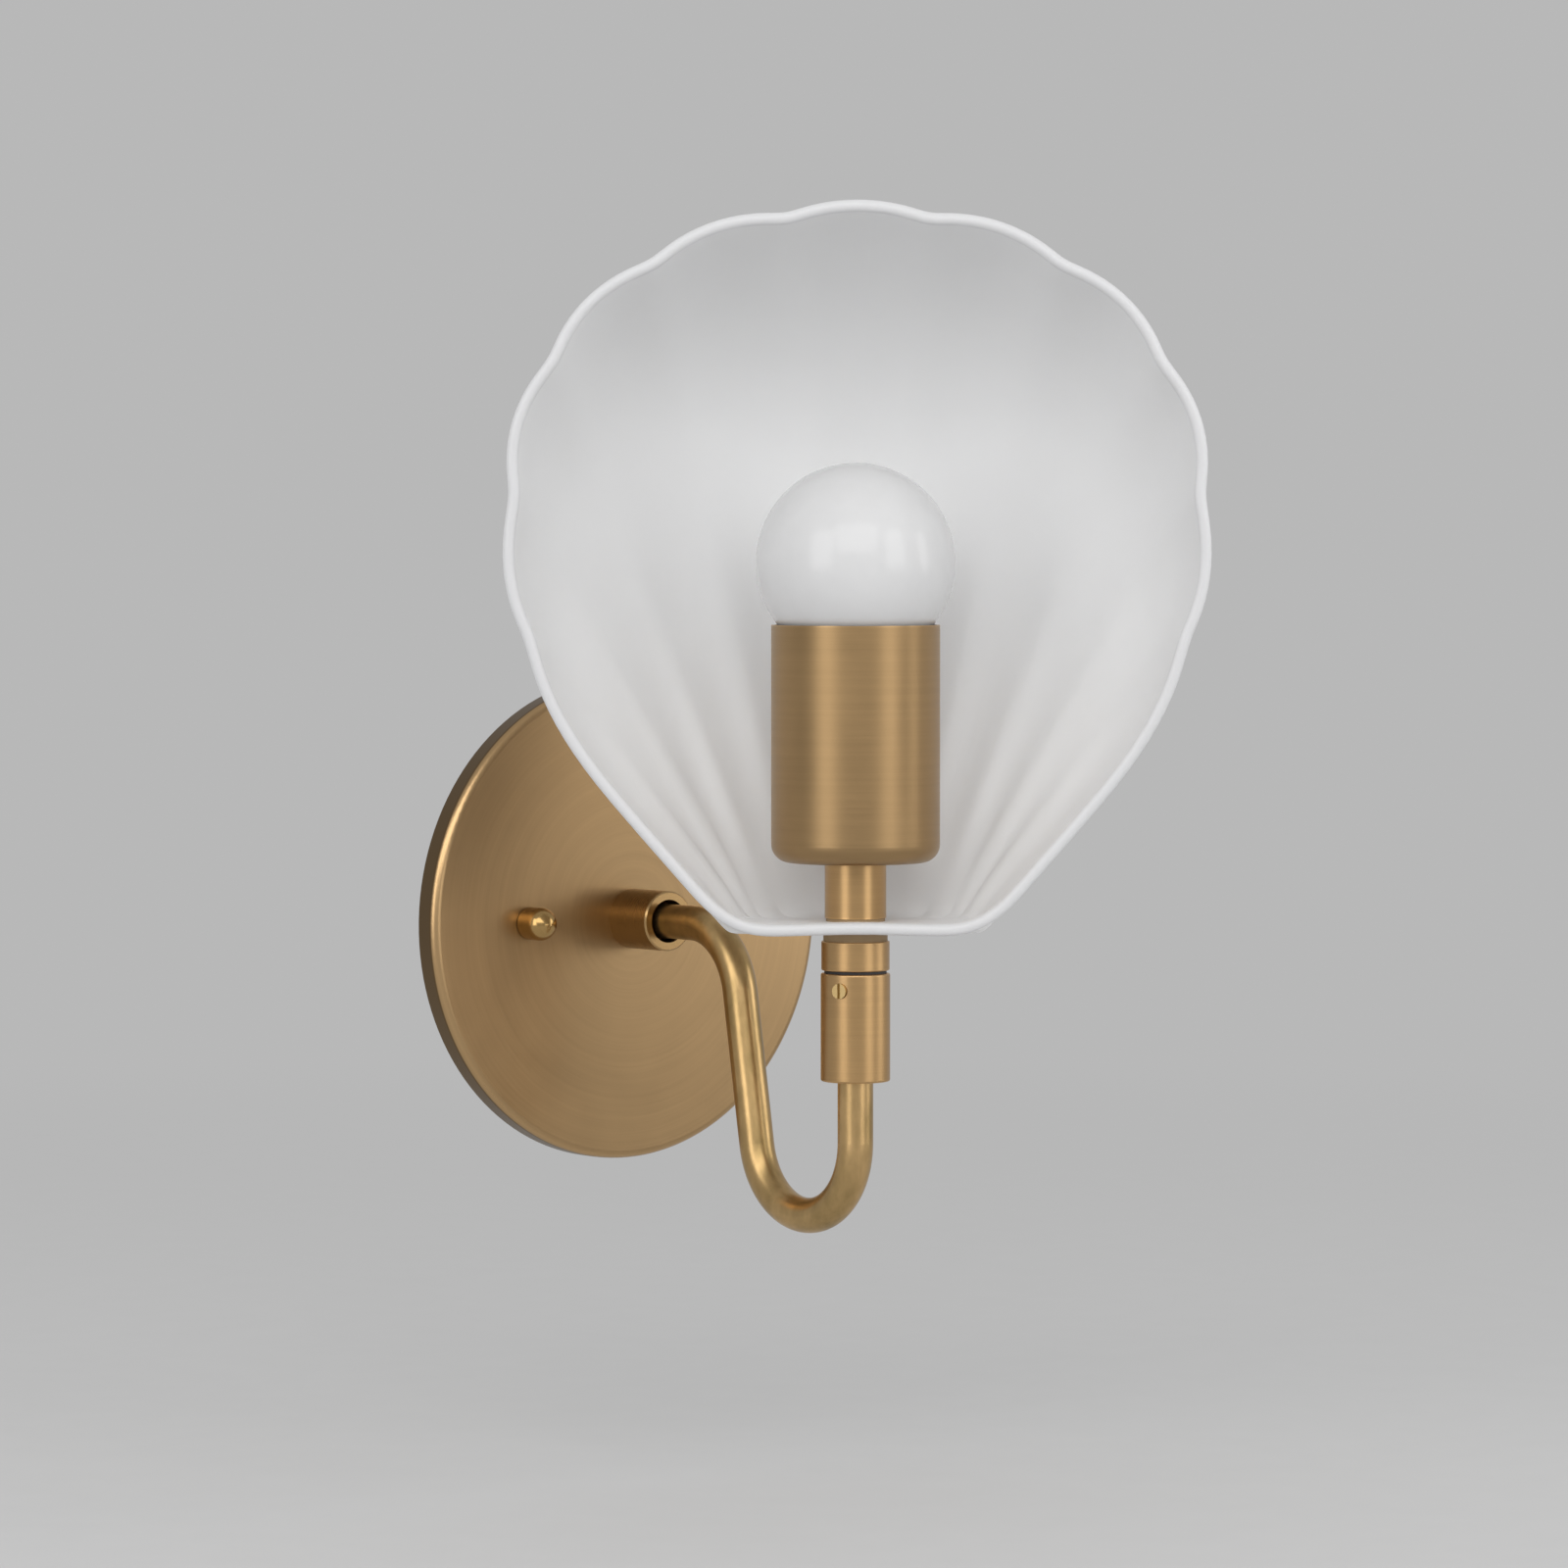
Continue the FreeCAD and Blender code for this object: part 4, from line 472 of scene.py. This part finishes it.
dress(
    moulded("gasket_rubber", WASHER_TAN, rough=0.60, grain_depth=0.02 * MM),
    "lower_gasket", "upper_gasket",
)
dress(
    moulded("black_nylon", BLACK, rough=0.55, grain_depth=0.01 * MM),
    "swivel_washer", "nipple_bushing",
)
dress(
    moulded("black_wire", BLACK, rough=0.35, grain_depth=0.004 * MM),
    "arm_lead_black", "stem_lead_black",
)
dress(
    moulded("white_wire", WHITE_WIRE, rough=0.38, grain_depth=0.004 * MM),
    "arm_lead_white", "stem_lead_white",
)
dress(
    moulded("green_wire", GREEN_WIRE, rough=0.38, grain_depth=0.004 * MM),
    "ground_lead",
)
dress(
    moulded("porcelain", PORCELAIN, rough=0.22, grain_depth=0.006 * MM, glaze=0.6),
    "socket_body",
)
dress(
    moulded("black_glass", BLACK, rough=0.12, grain_depth=0.002 * MM, glaze=0.4),
    "bulb_insulator",
)

# %% [markdown]
# ## The lamp's globe
#
# The globe is clear glass with a white powder inside. Light goes a little way in before it
# comes back, so the finish is a pale body that scatters light below the surface, under a
# clear gloss. The powder is never quite even, and a soft noise shows that.

# %% Opal lamp glass
GLOBE_TONE = (0.667, 0.666, 0.669)
POWDER_SCALE = 130.0
THIN_POWDER = 0.96
THICK_POWDER = 1.03
GLOBE_ROUGHNESS = 0.13
POWDER_SWING = 0.06
GLASS_INDEX = 1.5


def lamp_glass():
    finish = Finish("lamp_glass")
    x, y, z = finish.place()
    powder = finish.noise(finish.vector(x, y, z), POWDER_SCALE, detail=4.0)
    thin, thick = tone(GLOBE_TONE, THIN_POWDER), tone(GLOBE_TONE, THICK_POWDER)
    return finish.surface({
        "Base Color": finish.mix(powder, thin, thick),
        "Roughness": powder * POWDER_SWING + GLOBE_ROUGHNESS,
        "IOR": GLASS_INDEX,
        "Specular IOR Level": 0.35,
        "Subsurface Weight": 0.3,
        "Subsurface Radius": (4.0, 4.0, 4.0),
        "Subsurface Scale": MM,
    })


dress(lamp_glass(), "bulb_glass")

# %% [markdown]
# ## The shell's glass
#
# The shell is pressed opal glass with a satin skin. Clear glass would show the wall through
# it, and a plain white paint would look like plaster: opal glass lets light soak a few
# millimetres in, which softens the shade in the flutes. The lower half is painted a little
# lighter: painted light, where the lamps above fall on the bottom of the shell. The rim was
# melted smooth in a flame after pressing, so it is glossier. It is also painted a little
# greyer: painted shade, which takes off the light its rounded front catches. Its place is
# found from the plane of the rim, which is turned with the shell.

# %% Opal shell glass
SHELL_TONE = (0.733, 0.735, 0.737)
RIM_SHADE_TONE = (0.603, 0.603, 0.609)
FOOT_SHARE = 0.5
FOOT_PAINTED_LIGHT = 1.07
MILK_SCALE = 26.0
THIN_MILK = 0.97
THICK_MILK = 1.02
SATIN_SCALE = 1800.0
SATIN_SWING = 0.08
SATIN_DEPTH = 0.003 * MM
SHELL_ROUGHNESS = 0.46
RIM_SMOOTHER = 0.12
RIM_START = 0.4 * MM
RIM_FADE = 1.0 * MM
SHADE_TURN = math.radians(38.0)
RIM_PLANE = 15.0 * MM
shell_low, shell_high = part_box("shell_shade")


def shell_glass():
    finish = Finish("opal_glass")
    x, y, z = finish.place()
    spot = finish.vector(x, y, z)
    milk = finish.noise(spot, MILK_SCALE)
    satin = finish.noise(spot, SATIN_SCALE, detail=2.0)
    ahead = x * -math.sin(SHADE_TURN) - (y - stem_axis.y) * math.cos(SHADE_TURN)
    rim = ((ahead - (RIM_PLANE - RIM_START)) / RIM_FADE).clamped()
    body = finish.mix(milk, tone(SHELL_TONE, THIN_MILK), tone(SHELL_TONE, THICK_MILK))
    # painted light: the lower half of the shell is painted lighter
    height = (z - shell_low.z) / (shell_high.z - shell_low.z)
    lit_foot = (1 - height / FOOT_SHARE).clamped()
    body = finish.mix(lit_foot, body, tone(SHELL_TONE, FOOT_PAINTED_LIGHT))
    return finish.surface({
        # painted shade: the band along the rim is painted greyer
        "Base Color": finish.mix(rim, body, tone(RIM_SHADE_TONE)),
        "Roughness": satin * SATIN_SWING + SHELL_ROUGHNESS - rim * RIM_SMOOTHER,
        "IOR": GLASS_INDEX,
        "Subsurface Weight": 0.6,
        "Subsurface Radius": (5.0, 5.0, 5.2),
        "Subsurface Scale": MM,
        "Normal": finish.bump(satin, SATIN_DEPTH),
    })


dress(shell_glass(), "shell_shade")

# %% [markdown]
# ## The studio floor
#
# A pale paper floor lies under the lamp. A real studio bends the paper up into a wall, but
# then the lamp could not be seen from behind. Here the floor stays flat and fades, far from
# the lamp, into the colour of the surround, so no horizon shows from any side.

# %% The floor
SURROUND = (0.480, 0.480, 0.480)
FLOOR_TONE = (0.580, 0.580, 0.580)
FLOOR_LEVEL = -0.150
FLOOR_RADIUS = 12.0
FADE_START = 0.30
FADE_END = 1.30
FIBRE_SCALE = 60.0
DARK_FIBRE = 0.985
LIGHT_FIBRE = 1.015
FLOOR_SIDES = 96


def floor_paper():
    finish = Finish("floor_paper")
    x, y, z = finish.place()
    distance = (x * x + y * y) ** 0.5
    fade = ((distance - FADE_START) / (FADE_END - FADE_START)).clamped()
    fibre = finish.noise(finish.vector(x, y, z), FIBRE_SCALE)
    dark, light = tone(FLOOR_TONE, DARK_FIBRE), tone(FLOOR_TONE, LIGHT_FIBRE)
    colours = finish.mix(fibre, dark, light)
    matt = finish.node("ShaderNodeBsdfDiffuse", inputs={"Color": colours})
    glow = finish.node("ShaderNodeEmission", inputs={"Color": tone(SURROUND)})
    finish.close(finish.node("ShaderNodeMixShader", inputs=(fade, matt, glow)))
    return finish.material


floor_mesh = bpy.data.meshes.new("floor")
sheet = bmesh.new()
bmesh.ops.create_circle(sheet, cap_ends=True, segments=FLOOR_SIDES, radius=FLOOR_RADIUS)
sheet.to_mesh(floor_mesh)
sheet.free()
floor = bpy.data.objects.new("floor", floor_mesh)
bpy.context.scene.collection.objects.link(floor)
floor.location.z = FLOOR_LEVEL
floor_mesh.materials.append(floor_paper())
print("floor radius, m:", FLOOR_RADIUS)

# %% [markdown]
# ## The surround
#
# The world does two jobs: it lights the lamp evenly from all sides, and it is what the
# camera and the polished metal see behind it. Light Path tells the two apart, so the
# background's colour can be chosen without changing the light on the glass.

# %% The world
WORLD_LIGHT = (0.660, 0.660, 0.660)

world = bpy.data.worlds.new("surround")
world.use_nodes = True
bpy.context.scene.world = world
sky = Net(world.node_tree, "ShaderNodeOutputWorld")
ray = sky.node("ShaderNodeLightPath", output="Is Camera Ray").socket.node
seen = Flow(sky, ray.outputs["Is Camera Ray"])
for kind in ("Is Glossy Ray", "Is Transmission Ray"):
    seen = seen + Flow(sky, ray.outputs[kind])
light = sky.node("ShaderNodeBackground", inputs={"Color": tone(WORLD_LIGHT)})
backdrop = sky.node("ShaderNodeBackground", inputs={"Color": tone(SURROUND)})
sky.close(sky.node("ShaderNodeMixShader", inputs=(seen.clamped(), light, backdrop)))

# %% [markdown]
# ## The lamps
#
# Two tall soft lamps stand left and right of the camera, as in a product studio. On the
# brass cup they make the two upright highlights of the photograph: a highlight a third of
# the way from a cylinder's middle to its edge comes from a lamp about 40 degrees to the
# side. They would also throw the globe's shadow on the glass behind it, so a wide lamp
# above the camera gives most of the light. A last, weak lamp on the far right is what the
# flat wall plate mirrors.

# %% Soft lamps
AIM_HEIGHT = 60 * MM


def soft_lamp(name, azimuth, height, distance, width, tall, power):
    """A soft lamp round the stem: azimuth 0 faces the wall, and + is to the right."""
    data = bpy.data.lights.new(name, "AREA")
    data.shape = "RECTANGLE"
    data.size = width
    data.size_y = tall
    data.energy = power
    lamp = bpy.data.objects.new(name, data)
    bpy.context.scene.collection.objects.link(lamp)
    turn = math.radians(azimuth)
    aim = stem_axis + Vector((0, 0, AIM_HEIGHT))
    aside = Vector((math.sin(turn) * distance, -math.cos(turn) * distance, height))
    lamp.location = aim + aside
    lamp.rotation_euler = (-aside).to_track_quat("-Z", "Y").to_euler()
    lamp.visible_camera = False
    print(name, "at", [round(value, 2) for value in lamp.location], power, "W")


soft_lamp(
    "left_lamp", azimuth=-80.0, height=0.50, distance=1.9, width=0.9, tall=1.5, power=9.0
)
soft_lamp(
    "right_lamp", azimuth=8.0, height=0.50, distance=1.9, width=0.8, tall=1.5, power=8.0
)
soft_lamp(
    "high_lamp", azimuth=-38.0, height=1.15, distance=2.0, width=2.0, tall=1.4, power=18.0
)
soft_lamp(
    "plate_lamp", azimuth=52.0, height=0.35, distance=2.0, width=0.8, tall=1.2, power=6.0
)

# %% [markdown]
# ## The end
#
# The Standard view shows each colour as it was written.

# %% Colours and the last line
bpy.context.scene.view_settings.view_transform = "Standard"
